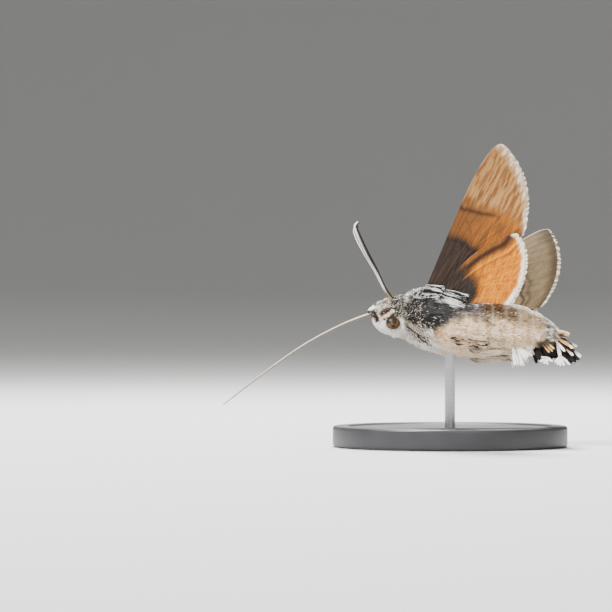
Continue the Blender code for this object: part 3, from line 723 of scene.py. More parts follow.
def build_coat(name, first, last, settings, length, spacing, seed):
    """Short fur of one stretch of the body, in a left and a right piece."""
    draw = np.random.default_rng(seed)
    x, around = coat_roots(first, last, spacing, draw)
    depth = coat_depth(x)
    roots, normals, back, turn = body_frame(x, around, -depth)
    distance, away = eye_offset(roots)
    keep = distance > EYE_GAP
    x, around, depth, distance = x[keep], around[keep], depth[keep], distance[keep]
    roots, normals, back, turn, away = roots[keep], normals[keep], back[keep], turn[keep], away[keep]
    count = len(x)
    sway = 1.0 * (mottle(roots, 0.9, seed) - 0.5) + 0.6 * (mottle(roots, 0.35, seed + 1) - 0.5)
    sway += draw.normal(0.0, 0.14, count)
    slant = throat(x, elevation(around))
    sway *= 1.0 - 0.7 * slant
    sway -= THROAT_SLANT * np.sign(np.cos(around)) * slant
    lies = back * np.cos(sway)[:, None] + turn * np.sin(sway)[:, None]
    lies = unit(lies + away * (1.6 * np.exp(-((distance - 1.0) / 0.22) ** 2))[:, None])
    snout = (1.0 - smooth_step(-12.25, -11.95, x)) * smooth_step(-0.1, 0.3, np.sin(around))
    lies = unit(mix(lies, -back, snout[:, None]))
    cheek = np.exp(-(((x + 9.9) / 0.8) ** 2)) * (np.sin(around) < -0.72) * (draw.uniform(size=count) < 0.05)
    lengths = length(x, around) * draw.uniform(0.8, 1.2, count) + 0.3 * cheek
    widths = settings.strand_width / MM * draw.uniform(0.75, 1.25, count) * np.clip(lengths / 0.7, 0.55, 1.1)
    drops = draw.uniform(0.3, 0.5, count) * (1.0 - 0.7 * np.maximum(snout, cheek))
    clump = 0.7 + 0.6 * mottle(roots, 0.5, seed + 2)
    lifts = depth / lengths * draw.uniform(0.75, 1.2, count) * clump + drops + 0.4 * cheek + 0.5 * snout
    shade = (draw.uniform(0.82, 1.15, count) * (0.86 + 0.28 * mottle(roots, 0.45, seed + 3)))[:, None]
    over = roots + normals * depth[:, None]
    colours = coat_colours(over + lies * (0.45 * lengths)[:, None]) * shade
    tips = coat_colours(over + lies * (0.85 * lengths)[:, None]) * shade
    every = (roots, normals, lies, lengths, widths, lifts, drops, colours, tips, body_bake(x, around))
    for side_name, side in SIDES:
        own = np.cos(around) * side >= 0.0
        values = [item[own] for item in every]
        piece = strands("coat_" + name + "_" + side_name, HAIR, *values)
        finish_piece(piece, coat_material("coat_" + name, 0.75), smooth=False)


def head_length(x, around):
    """Length of the head's hairs, shortest on the face."""
    snout = (1.0 - smooth_step(-12.3, -12.0, x)) * smooth_step(-0.1, 0.3, np.sin(around))
    return mix(0.32, 0.46, smooth_step(-12.2, -9.4, x)) + 0.6 * snout


def thorax_length(x, around):
    """Length of the thorax's hairs, longest on the shoulders and the back's end."""
    return mix(0.42, 1.1, smooth_step(-7.6, -3.0, x)) * mix(1.0, 0.85, smooth_step(-1.0, 1.0, x))


def abdomen_length(x, around):
    """Length of the abdomen's scales, longest at the hind edge of each segment and on the rear crest."""
    edge = ((x - WAIST_X) / SEGMENT_LENGTH) % 1.0
    crest = smooth_step(5.0, 8.0, x) * smooth_step(34.0, 54.0, elevation(around))
    return mix(0.62, 0.95, smooth_step(0.55, 0.9, edge)) + 0.5 * smooth_step(10.5, 13.5, x) + 0.3 * crest


def build_shoulders(settings):
    """Long streaked hairs of the shoulders, swept back over the roots of the wings."""
    draw = np.random.default_rng(61)
    groups = []
    for side_name, side in SIDES:
        count = SHOULDER_HAIRS
        x = draw.uniform(-6.2, 1.4, count)
        above = np.radians(draw.uniform(14.0, 38.0, count))
        around = above if side > 0 else math.pi - above
        roots = body_point(x, around, -0.3)
        over = body_point(x, around, 0.3)
        rise = draw.uniform(-0.2, 0.12, count) - 0.2 * smooth_step(-3.5, 1.0, x)
        level = np.zeros(count)
        lies = unit(np.column_stack((level + 1.0, level, rise)))
        normals = unit(np.column_stack((level, level + side, level + 0.2)))
        lengths = draw.uniform(1.2, 2.1, count)
        widths = settings.strand_width / MM * draw.uniform(0.8, 1.2, count)
        drops = draw.uniform(0.05, 0.2, count)
        lifts = drops + draw.uniform(0.1, 0.3, count)
        streaks = 0.4 * (1.0 - smooth_step(-1.5, 0.5, x))
        colours = flecked(coat_colours(over), WHITE, over * (0.16, 1.0, 1.0), 0.17, streaks, 62)
        colours = colours * draw.uniform(0.82, 1.12, (count, 1))
        groups.append((
            roots, normals, lies, lengths, widths, lifts, drops, colours, colours, body_bake(x, around),
        ))
        groups.append(wing_root_hair(side_name, side, settings, draw))
    values = [np.concatenate(items) for items in zip(*groups)]
    piece = strands("coat_shoulders", HAIR, *values)
    finish_piece(piece, coat_material("coat_thorax", 0.75), smooth=False)


def wing_root_hair(side_name, side, settings, draw):
    """Black and white streaked hairs rooted on the base of a wing's under face."""
    count = WING_ROOT_HAIRS
    chord = draw.uniform(-0.6, 3.4, count)
    span = draw.uniform(-1.8, 0.1, count) + 0.3 * np.maximum(chord, 0.0)
    height = side * (draw.uniform(0.0, 0.35, count) + WING_TIER_GAP * smooth_step(1.4, 2.4, chord))
    roots = wing_place(side_name, side, 0, np.column_stack((span, chord)), height)
    level = np.zeros(count)
    slope = -0.16 - 0.06 * chord + draw.uniform(-0.1, 0.1, count)
    lies = unit(np.column_stack((level + 1.0, level, slope)))
    normals = unit(np.column_stack((level, level + side, level + 0.2)))
    lengths = draw.uniform(1.5, 2.6, count)
    widths = settings.strand_width / MM * draw.uniform(0.8, 1.2, count)
    drops = draw.uniform(0.05, 0.2, count)
    lifts = drops + draw.uniform(0.02, 0.16, count)
    streaks = np.column_stack((0.12 * chord, span - 0.25 * chord, level + side))
    colours = flecked(np.tile(chart(CHARCOAL), (count, 1)), WHITE, streaks, 0.17, 0.5, 63)
    colours = colours * draw.uniform(0.8, 1.1, (count, 1))
    around = np.full(count, 0.25 * math.pi if side > 0 else 0.75 * math.pi)
    bake = body_bake(roots[:, 0] - BODY_AXIS[0], around)
    return roots, normals, lies, lengths, widths, lifts, drops, colours, colours, bake


def build_palp_coat(settings):
    """Short smooth scales of the palps."""
    draw = np.random.default_rng(51)
    groups = []
    for index, (_, side) in enumerate(SIDES):
        path, radii = palp_path(side)
        count = PALP_HAIRS
        share = draw.uniform(0.02, 0.97, count)
        around = draw.uniform(-math.pi, math.pi, count)
        roots, normals, forward = tube_surface(path, radii, share, around, -PALP_DEPTH)
        lengths = draw.uniform(0.26, 0.42, count)
        widths = settings.strand_width / MM * draw.uniform(0.5, 0.8, count)
        drops = draw.uniform(0.25, 0.4, count)
        lifts = drops + draw.uniform(0.15, 0.42, count)
        colours = head_colours(roots + forward * 0.15) * draw.uniform(0.82, 1.12, count)[:, None]
        bake = np.column_stack((0.89 + 0.05 * index + 0.04 * share, (around / (2.0 * math.pi) + 0.5) * 0.98))
        lies = unit(forward + normals * 0.05 + draw.normal(0.0, 0.12, (count, 3)))
        groups.append((roots, normals, lies, lengths, widths, lifts, drops, colours, colours, bake))
    values = [np.concatenate(items) for items in zip(*groups)]
    piece = strands("coat_palps", HAIR, *values)
    finish_piece(piece, coat_material("coat_palps", 0.8), smooth=False)


# Wings

ORANGE = (194, 110, 0)
DEEP_ORANGE = (152, 74, 0)
BRIGHT_ORANGE = (226, 152, 4)
RUST = (114, 68, 24)
WING_BROWN = (56, 40, 30)
WING_DARK = (26, 19, 16)
WING_GREY = (130, 112, 84)
WING_TAN = (166, 122, 70)
WING_PALE = (250, 238, 216)
WING_TIER_GAP = 1.05
SPAN_BEND = 0.9
CHORD_BEND = 1.3
FOREWING = {
    "front_root": (-2.6, -0.5),
    "rear_root": (-2.6, 2.2),
    "tip": (23.0, 0.4),
    "corner": (12.6, 8.6),
    "front_bulge": (-1.55, 1.4, 0.4),
    "margin_bulge": (1.85, 0.85, 1.0),
    "rear_bulge": (0.3, 1.0, 1.0),
}
HINDWING = {
    "front_root": (-1.8, 2.1),
    "rear_root": (-2.0, 3.9),
    "tip": (12.3, 7.3),
    "corner": (2.9, 11.2),
    "front_bulge": (-2.0, 1.0, 0.9),
    "margin_bulge": (1.9, 0.7, 1.0),
    "rear_bulge": (-1.6, 1.0, 1.0),
}
# Where each pair of wings is rooted and how it is held: every direction is (back, outwards, up).
WING_POSES = {
    "left": ((-4.3, 3.95, 4.7), (0.437, 0.399, 0.808), (0.899, -0.136, -0.417)),
    "right": ((-2.3, 3.5, 3.9), (0.711, 0.333, 0.620), (0.688, -0.146, -0.711)),
}
# Veins: column at the root, share where it leaves that column, column at the margin.
FOREWING_VEINS = (
    (0.0, 0.0, 0.015),
    (0.07, 0.35, 0.06),
    (0.12, 0.5, 0.12),
    (0.12, 0.55, 0.19),
    (0.22, 0.52, 0.26),
    (0.22, 0.5, 0.34),
    (0.36, 0.5, 0.43),
    (0.5, 0.47, 0.53),
    (0.5, 0.4, 0.63),
    (0.5, 0.33, 0.74),
    (0.8, 0.0, 0.87),
)
HINDWING_VEINS = (
    (0.04, 0.0, 0.03),
    (0.14, 0.2, 0.14),
    (0.3, 0.45, 0.25),
    (0.3, 0.5, 0.36),
    (0.45, 0.45, 0.47),
    (0.5, 0.5, 0.58),
    (0.5, 0.4, 0.68),
    (0.72, 0.0, 0.79),
    (0.86, 0.0, 0.9),
)
CROSS_VEIN = 0.5
VEIN_WIDTH = 0.11
VEIN_HEIGHT = 0.05
SPAN_CELLS = 190
CHORD_CELLS = 110
FRINGE_SPACING = 0.05


def bulge(sizes, share):
    """Sideways swing of an edge: none at its ends, most where the two powers put it."""
    size, rise, fall = sizes
    peak = rise / (rise + fall)
    share = np.clip(share, 0.0, 1.0)
    return size * share**rise * (1.0 - share) ** fall / (peak**rise * (1.0 - peak) ** fall)


def wing_plan(plan, share, column):
    """Points of the wing's plan, by share of the way from root to margin and column from front to rear."""
    front_root, rear_root, tip, corner = [
        np.array(plan[key]) for key in ("front_root", "rear_root", "tip", "corner")
    ]
    margin = corner - tip
    outwards = unit(np.array((margin[1], -margin[0])))
    end = tip + margin * column[:, None] + outwards * bulge(plan["margin_bulge"], column)[:, None]
    point = mix(mix(front_root, rear_root, column[:, None]), end, share[:, None])
    point[:, 1] += bulge(plan["front_bulge"], share) * (1.0 - column) ** 2
    point[:, 1] += bulge(plan["rear_bulge"], share) * column**2
    return point


def wing_place(side_name, side, tier, plan_points, height):
    """World points for points of a wing's plan at a height through it."""
    root, span, chord = [np.array(item) * (1.0, side, 1.0) for item in WING_POSES[side_name]]
    span = unit(span)
    chord = unit(chord - span * (chord @ span))
    rise = np.cross(span, chord)
    x, y = plan_points.T
    bend = SPAN_BEND * (x / FOREWING["tip"][0]) ** 2 - CHORD_BEND * (y / FOREWING["corner"][1]) ** 2
    z = -side * (bend - tier * WING_TIER_GAP) + height
    body = root + x[:, None] * span + y[:, None] * chord + z[:, None] * rise
    return BODY_AXIS + turned(body, TRUNK_BANK)


def vein_cover(veins, points, plan, share, column):
    """How much of a vein there is at each place of a wing, from 0 to 1."""
    cover = np.zeros(len(share))
    for start, leave, end in veins:
        line = mix(start, end, smooth_step(leave, 1.0, share) if leave else share)
        at_line = wing_plan(plan, share, line)
        distance = np.linalg.norm(points - at_line, axis=1)
        width = VEIN_WIDTH * mix(1.6, 0.6, share)
        cover = np.maximum(cover, np.exp(-((distance / width) ** 2)) * mix(1.0, 0.5, share))
    cross = np.exp(-(((share - CROSS_VEIN - 0.04 * np.sin(column * 9.0)) / 0.008) ** 2))
    inside = smooth_step(0.12, 0.16, column) * (1.0 - smooth_step(0.5, 0.54, column))
    return np.maximum(cover, 0.7 * cross * inside)


def forewing_below(share, column, points, veins):
    """Colours of a forewing's under face: dark root, rusty middle and tan outer part between dark lines."""
    fine = points_3d(points * (0.3, 2.2))
    streaks = smooth_step(0.2, 0.8, mottle(fine, 0.45, 61))
    colours = mix(chart(WING_DARK), chart(WING_BROWN), (0.8 * streaks)[:, None])
    first = 0.385 + 0.16 * column + 0.02 * (mottle(fine, 1.4, 62) - 0.5)
    rusty = mix(chart(RUST), chart(ORANGE), (0.5 * smooth_step(0.1, 0.75, column) * streaks)[:, None])
    colours = mix(colours, rusty, smooth_step(first - 0.01, first + 0.07, share)[:, None])
    second = 0.575 + 0.4 * column**1.3 + 0.016 * (mottle(fine, 1.4, 63) - 0.5)
    outer = mix(chart(WING_TAN), chart(RUST), (0.95 * streaks)[:, None])
    colours = mix(colours, outer, smooth_step(second, second + 0.08, share)[:, None])
    for line, strength in ((first, 0.8), (second, 0.75 * (1.0 - smooth_step(0.35, 0.6, column)))):
        cover = np.exp(-(((share - line) / 0.014) ** 2)) * strength
        colours = mix(colours, chart(WING_DARK), cover[:, None])
    waves = np.sin((share + 0.05 * column) * 150.0 + 3.0 * mottle(fine, 2.0, 68))
    bands = smooth_step(0.1, 0.9, waves) * smooth_step(second + 0.03, second + 0.1, share)
    colours = mix(colours, chart(WING_GREY), (0.12 * bands)[:, None])
    edge = smooth_step(0.955, 0.995, share + 0.03 * (streaks - 0.5))
    colours = mix(colours, chart(WING_PALE), (0.6 * edge * (0.4 + 0.6 * streaks))[:, None])
    return mix(colours, chart(WING_BROWN), (0.6 * veins)[:, None])


# Dark lines of the forewing's upper face: place, width and strength.
FOREWING_LINES = (
    (0.2, 0.05, 0.75),
    (0.4, 0.018, 0.9),
    (0.43, 0.012, 0.6),
    (0.66, 0.014, 0.8),
    (0.72, 0.02, 0.5),
)


def forewing_above(share, column, points, veins):
    """Colours of a forewing's upper face: grey-brown with dark wavy lines and a spot in the cell."""
    fine = points_3d(points * (0.5, 2.0))
    streaks = mottle(fine, 0.6, 64)
    colours = mix(chart(WING_GREY), chart(WING_BROWN), (0.1 + 0.35 * streaks)[:, None])
    wave = 0.014 * np.sin(column * 26.0) + 0.01 * (mottle(fine, 1.0, 65) - 0.5)
    for place, width, strength in FOREWING_LINES:
        cover = np.exp(-(((share - place - 0.1 * column - wave) / width) ** 2)) * strength
        colours = mix(colours, chart(WING_DARK), cover[:, None])
    spot = np.exp(-((share - 0.56) / 0.012) ** 2 - ((column - 0.24) / 0.03) ** 2)
    colours = mix(colours, chart(WING_DARK), spot[:, None])
    colours = mix(colours, chart(WING_DARK), (0.6 * smooth_step(0.9, 0.985, share))[:, None])
    return mix(colours, chart(WING_DARK), (0.4 * veins)[:, None])


def hindwing_face(share, column, points, veins):
    """Colours of a hindwing: dark root, orange blade and a white edge, with light streaks on the veins."""
    fine = points_3d(points * (0.4, 2.4))
    streaks = smooth_step(0.2, 0.8, mottle(fine, 0.4, 66))
    colours = mix(chart(ORANGE), chart(DEEP_ORANGE), (0.75 * streaks)[:, None])
    bright = 0.6 * smooth_step(0.55, 0.9, mottle(fine, 0.3, 69))
    colours = mix(colours, chart(BRIGHT_ORANGE), bright[:, None])
    root = 0.43 + 0.1 * column + 0.04 * (mottle(points_3d(points), 2.5, 67) - 0.5) + 0.03 * (streaks - 0.5)
    dark = mix(chart(WING_DARK), chart(WING_BROWN), (0.8 * streaks)[:, None])
    colours = mix(dark, colours, smooth_step(root - 0.05, root + 0.13, share)[:, None])
    light = veins * smooth_step(0.5, 0.65, share)
    colours = mix(colours, chart(BRIGHT_ORANGE), (0.5 * light)[:, None])
    # Dark arcs follow the front edge and turn round the outer corner, with light lines between them.
    reach = smooth_step(0.34, 0.5, share)
    for line, width, colour, strength in (
        (0.07, 0.06, WING_DARK, 0.97),
        (0.17, 0.014, BRIGHT_ORANGE, 0.5),
        (0.2, 0.018, WING_DARK, 0.45),
        (0.0, 0.025, WING_BROWN, 0.7),
    ):
        bent = column + 0.5 * smooth_step(0.82, 1.0, share) * (share - 0.82)
        cover = np.exp(-(((bent - line) / width) ** 2)) * strength * reach
        colours = mix(colours, chart(colour), cover[:, None])
    start = 0.965 - 0.03 * column
    pale = smooth_step(start, start + 0.035, share + 0.02 * (streaks - 0.5))
    return mix(colours, chart(WING_PALE), (0.9 * pale)[:, None])


def hindwing_above(share, column, points, veins):
    """Colours of a hindwing's upper face: orange with a dark root and a brown border."""
    colours = hindwing_face(share, column, points, veins * 0.3)
    border = smooth_step(0.84, 0.93, share) * (1.0 - smooth_step(0.975, 0.995, share))
    return mix(colours, chart(WING_BROWN), (0.85 * border)[:, None])


WINGS = (
    ("forewing", FOREWING, FOREWING_VEINS, 0, forewing_below, forewing_above),
    ("hindwing", HINDWING, HINDWING_VEINS, 1, hindwing_face, hindwing_above),
)


def build_wing(name, plan, veins, tier, below, above, side_name, side, settings):
    """One thin wing with raised veins and an under and an upper face of their own."""
    bpy.ops.object.select_all(action="DESELECT")
    bpy.ops.mesh.primitive_grid_add(x_subdivisions=SPAN_CELLS, y_subdivisions=CHORD_CELLS, size=2.0 * MM)
    wing = bpy.context.object
    wing.name = name + "_membrane_" + side_name
    grid = mesh_points(wing)
    share, column, _ = np.clip((grid.T + 1.0) / 2.0, 0.0, 1.0)
    points = wing_plan(plan, share, column)
    cover = vein_cover(veins, points, plan, share, column)
    half = 0.5 * settings.thickness / MM + VEIN_HEIGHT * cover
    half *= mix(0.35, 1.0, smooth_step(1.0, 0.97, share))
    set_points(wing, wing_place(side_name, side, tier, points, 0.0))
    apply_modifier(wing, "SOLIDIFY", thickness=0.1 * MM, offset=0.0)
    count = len(points)
    both = np.concatenate((half, -half))
    doubled = np.concatenate((points, points))
    first = wing_place(side_name, side, tier, doubled, both)
    solid = mesh_points(wing)
    if np.linalg.norm(first - solid, axis=1).mean() > np.linalg.norm(
        wing_place(side_name, side, tier, doubled, -both) - solid, axis=1
    ).mean():
        both = -both
    set_points(wing, wing_place(side_name, side, tier, doubled, both))
    merge_doubles(wing)
    under = below(share, column, points, cover)
    over = above(share, column, points, cover)
    # A wing's own height runs towards its upper face on the left and its under face on the right.
    faces_under = both[:count].mean() * side > 0.0
    paint(wing.data, np.concatenate((under, over) if faces_under else (over, under)))
    add_wing_map(wing, np.concatenate((points, points)))
    finish_piece(wing, wing_material(name), (name + "_" + side_name,))
    build_fringe(name, plan, tier, side_name, side, under)


def add_wing_map(wing, points):
    """Gives a wing a flat map of its plan, in centimetres."""
    layer = wing.data.uv_layers.new(name="Wing")
    corners = np.empty(len(wing.data.loops), np.int32)
    wing.data.loops.foreach_get("vertex_index", corners)
    layer.uv.foreach_set("vector", (points[corners] * 0.1).astype(np.float32).ravel())


def build_fringe(name, plan, tier, side_name, side, under):
    """Short pale scales that fringe a wing's margin."""
    draw = np.random.default_rng(71 + tier)
    margin = np.linalg.norm(np.array(plan["corner"]) - np.array(plan["tip"]))
    count = int(margin / FRINGE_SPACING) * 3
    column = np.sort(draw.uniform(0.0, 1.0, count))
    share = np.full(count, 0.99)
    base = wing_plan(plan, share, column)
    out = unit(wing_plan(plan, share + 0.01, column) - base)
    root = wing_place(side_name, side, tier, base, draw.uniform(-0.04, 0.04, count))
    ahead = wing_place(side_name, side, tier, base + out * 0.1, 0.0)
    lies = unit(ahead - wing_place(side_name, side, tier, base, 0.0))
    normal = unit(wing_place(side_name, side, tier, base, 0.5) - wing_place(side_name, side, tier, base, 0.0))
    wave = np.sin(column * 96.0 + 2.0 * np.sin(column * 17.0))
    lengths = draw.uniform(0.26, 0.58, count) * (1.0 + 0.14 * wave)
    widths = draw.uniform(0.07, 0.12, count)
    none = np.zeros(count)
    tone = smooth_step(-0.6, 0.5, wave + 0.9 * tier + draw.normal(0.0, 0.7, count))[:, None]
    colours = mix(chart(RUST), chart(WING_PALE), 0.25 + 0.75 * tone) * draw.uniform(0.85, 1.1, (count, 1))
    bake = np.column_stack((column, np.full(count, 0.5 + 0.2 * tier)))
    values = (root, normal, lies, lengths, widths, none, none, colours, colours, bake)
    piece = strands(name + "_fringe_" + side_name, VANE, *values)
    finish_piece(piece, coat_material("wing_fringe", 0.7), smooth=False)


# Antennae, proboscis and legs

ANTENNA_PATH = (
    (-1.2, 0.8, 1.9),
    (-1.74, 0.95, 2.85),
    (-2.67, 1.3, 4.18),
    (-3.9, 1.9, 6.7),
    (-5.4, 2.75, 9.4),
    (-6.5, 3.4, 11.6),
    (-6.95, 3.7, 12.9),
    (-6.55, 3.8, 13.55),
)
ANTENNA_RADII = (0.19, 0.19, 0.21, 0.25, 0.3, 0.33, 0.26, 0.16)
ANTENNA_BASE = (236, 196, 104)
ANTENNA_JOINTS = 62
# Sets the pale face of an antenna in the head's frame. It faces the key lamp, so it is painted as the lit
# side as well as pale scales.
ANTENNA_LIT_FACE = np.array((0.9, -0.28, -0.33))
RINGS_PER_JOINT = 6
PROBOSCIS_PATH = (
    (-3.9, 0.0, 0.6),
    (-5.0, 0.0, 0.32),
    (-9.2, 0.0, -1.32),
    (-14.55, 0.0, -4.2),
    (-20.4, 0.0, -8.3),
    (-26.15, 0.0, -12.8),
)
PROBOSCIS_RADII = (0.27, 0.25, 0.2, 0.17, 0.15, 0.09)
MID_LEG = ((-3.2, -48.0, -1.1), (-0.4, -31.0, 0.75), (3.3, -36.0, 0.68), (6.6, -52.0, 0.62))
HIND_LEG = ((-0.9, -62.0, -1.1), (2.8, -63.0, 0.75), (5.8, -66.0, 0.8), (8.3, -70.0, 1.0))
FORE_LEG = ((-6.4, -42.0, -1.2), (-7.7, -30.0, 0.45), (-5.9, -42.0, 0.6), (-3.9, -52.0, 0.55))
LEGS = (("foreleg", FORE_LEG), ("midleg", MID_LEG), ("hindleg", HIND_LEG))


def build_antennae():
    """Two antennae of many scaly joints, thickest near the tip, which ends in a fine hook."""
    for name, side in SIDES:
        path, radii = smooth_path(ANTENNA_PATH, ANTENNA_RADII, ANTENNA_JOINTS * RINGS_PER_JOINT)
        path = from_head(path * (1.0, side, 1.0))
        phase = (np.arange(len(path)) % RINGS_PER_JOINT) / RINGS_PER_JOINT
        radii = radii * (0.9 + 0.14 * np.sin(math.pi * phase) ** 0.7)
        item = tube_object("antenna_shaft_" + name, path, radii, 16)
        points = mesh_points(item)
        tree = KDTree(len(path))
        for index, place in enumerate(path):
            tree.insert(place, index)
        tree.balance()
        nearest = np.array([tree.find(place)[1] for place in points])
        share = nearest / len(path)
        ring = (nearest % RINGS_PER_JOINT) / RINGS_PER_JOINT
        dark = mix(chart(UMBER), chart(BLACK), 0.7)
        colours = mix(dark, chart(SMOKE), (0.2 * (ring < 0.34))[:, None])
        # Partly painted light: the pale face holds the antenna's pale scales and also stands in for its lit
        # side. The dark rest is dark scales and painted shade of the far side.
        edge = mix(0.46, 0.36, smooth_step(0.5, 0.9, share))
        facing = unit(path[nearest] - points) @ (ANTENNA_LIT_FACE * (1.0, side, 1.0))
        front = smooth_step(edge - 0.1, edge + 0.1, facing)
        pale = mix(chart(WHITE), chart(UMBER), (0.5 * (ring > 0.5) * smooth_step(0.25, 0.4, share))[:, None])
        pale = mix(chart(ANTENNA_BASE), pale, smooth_step(0.2, 0.3, share)[:, None])
        colours = mix(colours, pale, front[:, None])
        paint(item.data, colours)
        finish_piece(item, coat_material("antenna_scales", 0.6), ("antenna_" + name,))


def build_proboscis(horn):
    """The long proboscis: two half tubes joined side by side, finely ringed."""
    path, radii = smooth_path(PROBOSCIS_PATH, PROBOSCIS_RADII, 400)
    path = from_head(path)
    radii = radii * (1.0 + 0.03 * np.sin(np.arange(400) * 1.9))
    item = tube_object("proboscis_tube", path, radii, 24)
    points = mesh_points(item)
    place = to_head(points)
    across = np.abs(place[:, 1]) / np.interp(-place[:, 0], -to_head(path)[:, 0], radii)
    groove = 0.3 * np.exp(-((across / 0.22) ** 2))
    centre = np.column_stack([np.interp(-place[:, 0], -to_head(path)[:, 0], column) for column in path.T])
    set_points(item, mix(points, centre, groove[:, None] * (across < 0.6)[:, None]))
    # Painted highlight: the upper side is painted cream, most near the head and less towards the tip,
    # standing in for light on the dark horn.
    share = np.clip(-place[:, 0] / 26.0, 0.0, 1.0)
    above = smooth_step(-0.3, 0.5, unit(points - centre)[:, 2]) * mix(1.0, 0.45, share)
    paint(item.data, mix(np.array(horn), chart(CREAM), (0.85 * above)[:, None]))
    finish_piece(item, horn_material(), ("proboscis_upper", "proboscis_lower"))


def on_trunk(x, below, height, side):
    """World point over the trunk's coat, by its angle below the side and its height over the coat."""
    middle, half_height, half_width = smooth_values(TRUNK, np.array((x,)))[:, 0]
    angle = math.radians(below)
    out = side * (half_width + height) * math.cos(angle)
    place = np.array(((x, out, middle + (half_height + height) * math.sin(angle)),))
    return (BODY_AXIS + turned(place, TRUNK_BANK))[0]


def build_legs(settings):
    """Three pairs of scaly legs: femur, tibia with spurs, five-jointed tarsus and claws."""
    for leg, stations in LEGS:
        for side_name, side in SIDES:
            coxa, knee, ankle, tip = [on_trunk(*station, side) for station in stations]
            parts = [leg_tube((coxa, mix(coxa, knee, 0.5), knee), (0.28, 0.32, 0.18))]
            parts.append(leg_tube((knee, mix(knee, ankle, 0.5), ankle), (0.18, 0.22, 0.15)))
            joints = []
            sizes = []
            for joint in range(5):
                for share, size in ((0.0, 0.75), (0.3, 0.9), (0.85, 1.1), (0.97, 0.75)):
                    joints.append(mix(ankle, tip, (joint + share) / 5.0))
                    sizes.append(mix(0.14, 0.09, joint / 5.0) * size)
            parts.append(tube_object("tarsus", np.array(joints), np.array(sizes), 12))
            forward = unit(tip - ankle)
            away = unit(ankle - BODY_AXIS * (0.0, 1.0, 1.0) - ankle * (1.0, 0.0, 0.0))
            across = np.cross(forward, away)
            for turn in (-1.0, 1.0):
                spur = ankle + forward * 0.75 + across * turn * 0.3
                parts.append(tube_object("spur", np.array((ankle, spur)), np.array((0.08, 0.02)), 8))
                bend = tip + forward * 0.16 + across * turn * 0.1
                point = tip + forward * 0.3 + across * turn * 0.12 - away * 0.1
                claw = np.array((tip, bend, point))
                parts.append(tube_object("claw", claw, np.array((0.06, 0.045, 0.012)), 8))
            item = join_pieces(leg + "_limb_" + side_name, parts)
            paint(item.data, leg_colours(mesh_points(item), ankle, tip))
            finish_piece(item, coat_material("leg_scales", 0.7), (leg + "_" + side_name,))
            shown = (leg + "_hair_" + side_name, coxa, knee, ankle, tip)
            build_leg_hair(*shown, settings)


def leg_colours(points, ankle, tip):
    """Colours of a leg: as the coat beside it, and white with dark rings on the tarsus."""
    line = tip - ankle
    share = np.clip((points - ankle) @ line / (line @ line), -1.0, 1.0)
    tone = mix(chart(CREAM), chart(SMOKE), (0.25 + 0.4 * mottle(points, 0.3, 81))[:, None])
    rings = np.exp(-((((share * 5.0) % 1.0) / 0.16) ** 2)) * 0.5
    tone = mix(tone, chart(UMBER), rings[:, None])
    beside = mix(coat_colours(points), chart(CREAM), 0.3)
    return mix(beside, tone, smooth_step(-0.1, 0.1, share)[:, None])


def leg_tube(points, radii):
    """A smooth length of leg through three points."""
    path, sizes = smooth_path(points, radii, 14)
    return tube_object("leg", path, sizes, 16)


def build_leg_hair(name, coxa, knee, ankle, tip, settings):
    """Scales along a leg, longest on the femur and tibia."""
    draw = np.random.default_rng(82)
    groups = []
    for points, radii, count, longest in (
        ((coxa, mix(coxa, knee, 0.5), knee), (0.28, 0.32, 0.18), 420, 0.75),
        ((knee, mix(knee, ankle, 0.5), ankle), (0.18, 0.22, 0.15), 420, 0.6),
        ((ankle, mix(ankle, tip, 0.5), tip), (0.12, 0.11, 0.08), 200, 0.28),
    ):
        path, sizes = smooth_path(points, radii, 20)
        share = draw.uniform(0.0, 0.98, count)
        around = draw.uniform(-math.pi, math.pi, count)
        roots, normals, forward = tube_surface(path, sizes, share, around, -0.03)
        lengths = longest * draw.uniform(0.6, 1.1, count)
        widths = settings.strand_width / MM * draw.uniform(0.45, 0.75, count)
        drops = draw.uniform(0.1, 0.3, count)
        lifts = drops + draw.uniform(0.05, 0.3, count)
        colours = leg_colours(roots, ankle, tip) * draw.uniform(0.75, 1.1, (count, 1))
        lies = unit(forward + draw.normal(0.0, 0.14, (count, 3)))
        bake = np.column_stack((0.9 + 0.08 * share, 0.5 + 0.4 * (around / (2.0 * math.pi) + 0.5)))
        groups.append((roots, normals, lies, lengths, widths, lifts, drops, colours, colours, bake))
    values = [np.concatenate(items) for items in zip(*groups)]
    piece = strands(name, HAIR, *values)
    finish_piece(piece, coat_material("leg_scales", 0.7), smooth=False)


# Tail fan and side tufts

FAN_ROOT_X = 13.6
# Tiers of the fan: vanes, half spread, pitch and its spread, height and length of the roots, width, colours.
FAN_TIERS = (
    (5, 24.0, -13.0, 2.0, -1.05, 2.2, 0.7, TAN, BEIGE),
    (9, 30.0, -20.0, 4.0, -1.45, 2.6, 0.5, UMBER, UMBER),
    (13, 28.0, -30.0, 5.0, -2.0, 3.4, 0.55, BLACK, BLACK),
    (14, 28.0, -39.0, 6.0, -2.45, 3.5, 0.55, BLACK, BLACK),
    (5, 15.0, -33.0, 2.0, -2.2, 4.0, 0.55, BLACK, UMBER),
    (14, 28.0, -50.0, 8.0, -2.8, 3.3, 0.5, BLACK, BLACK),
    (9, 24.0, -62.0, 8.0, -2.8, 2.3, 0.5, BLACK, BLACK),
)
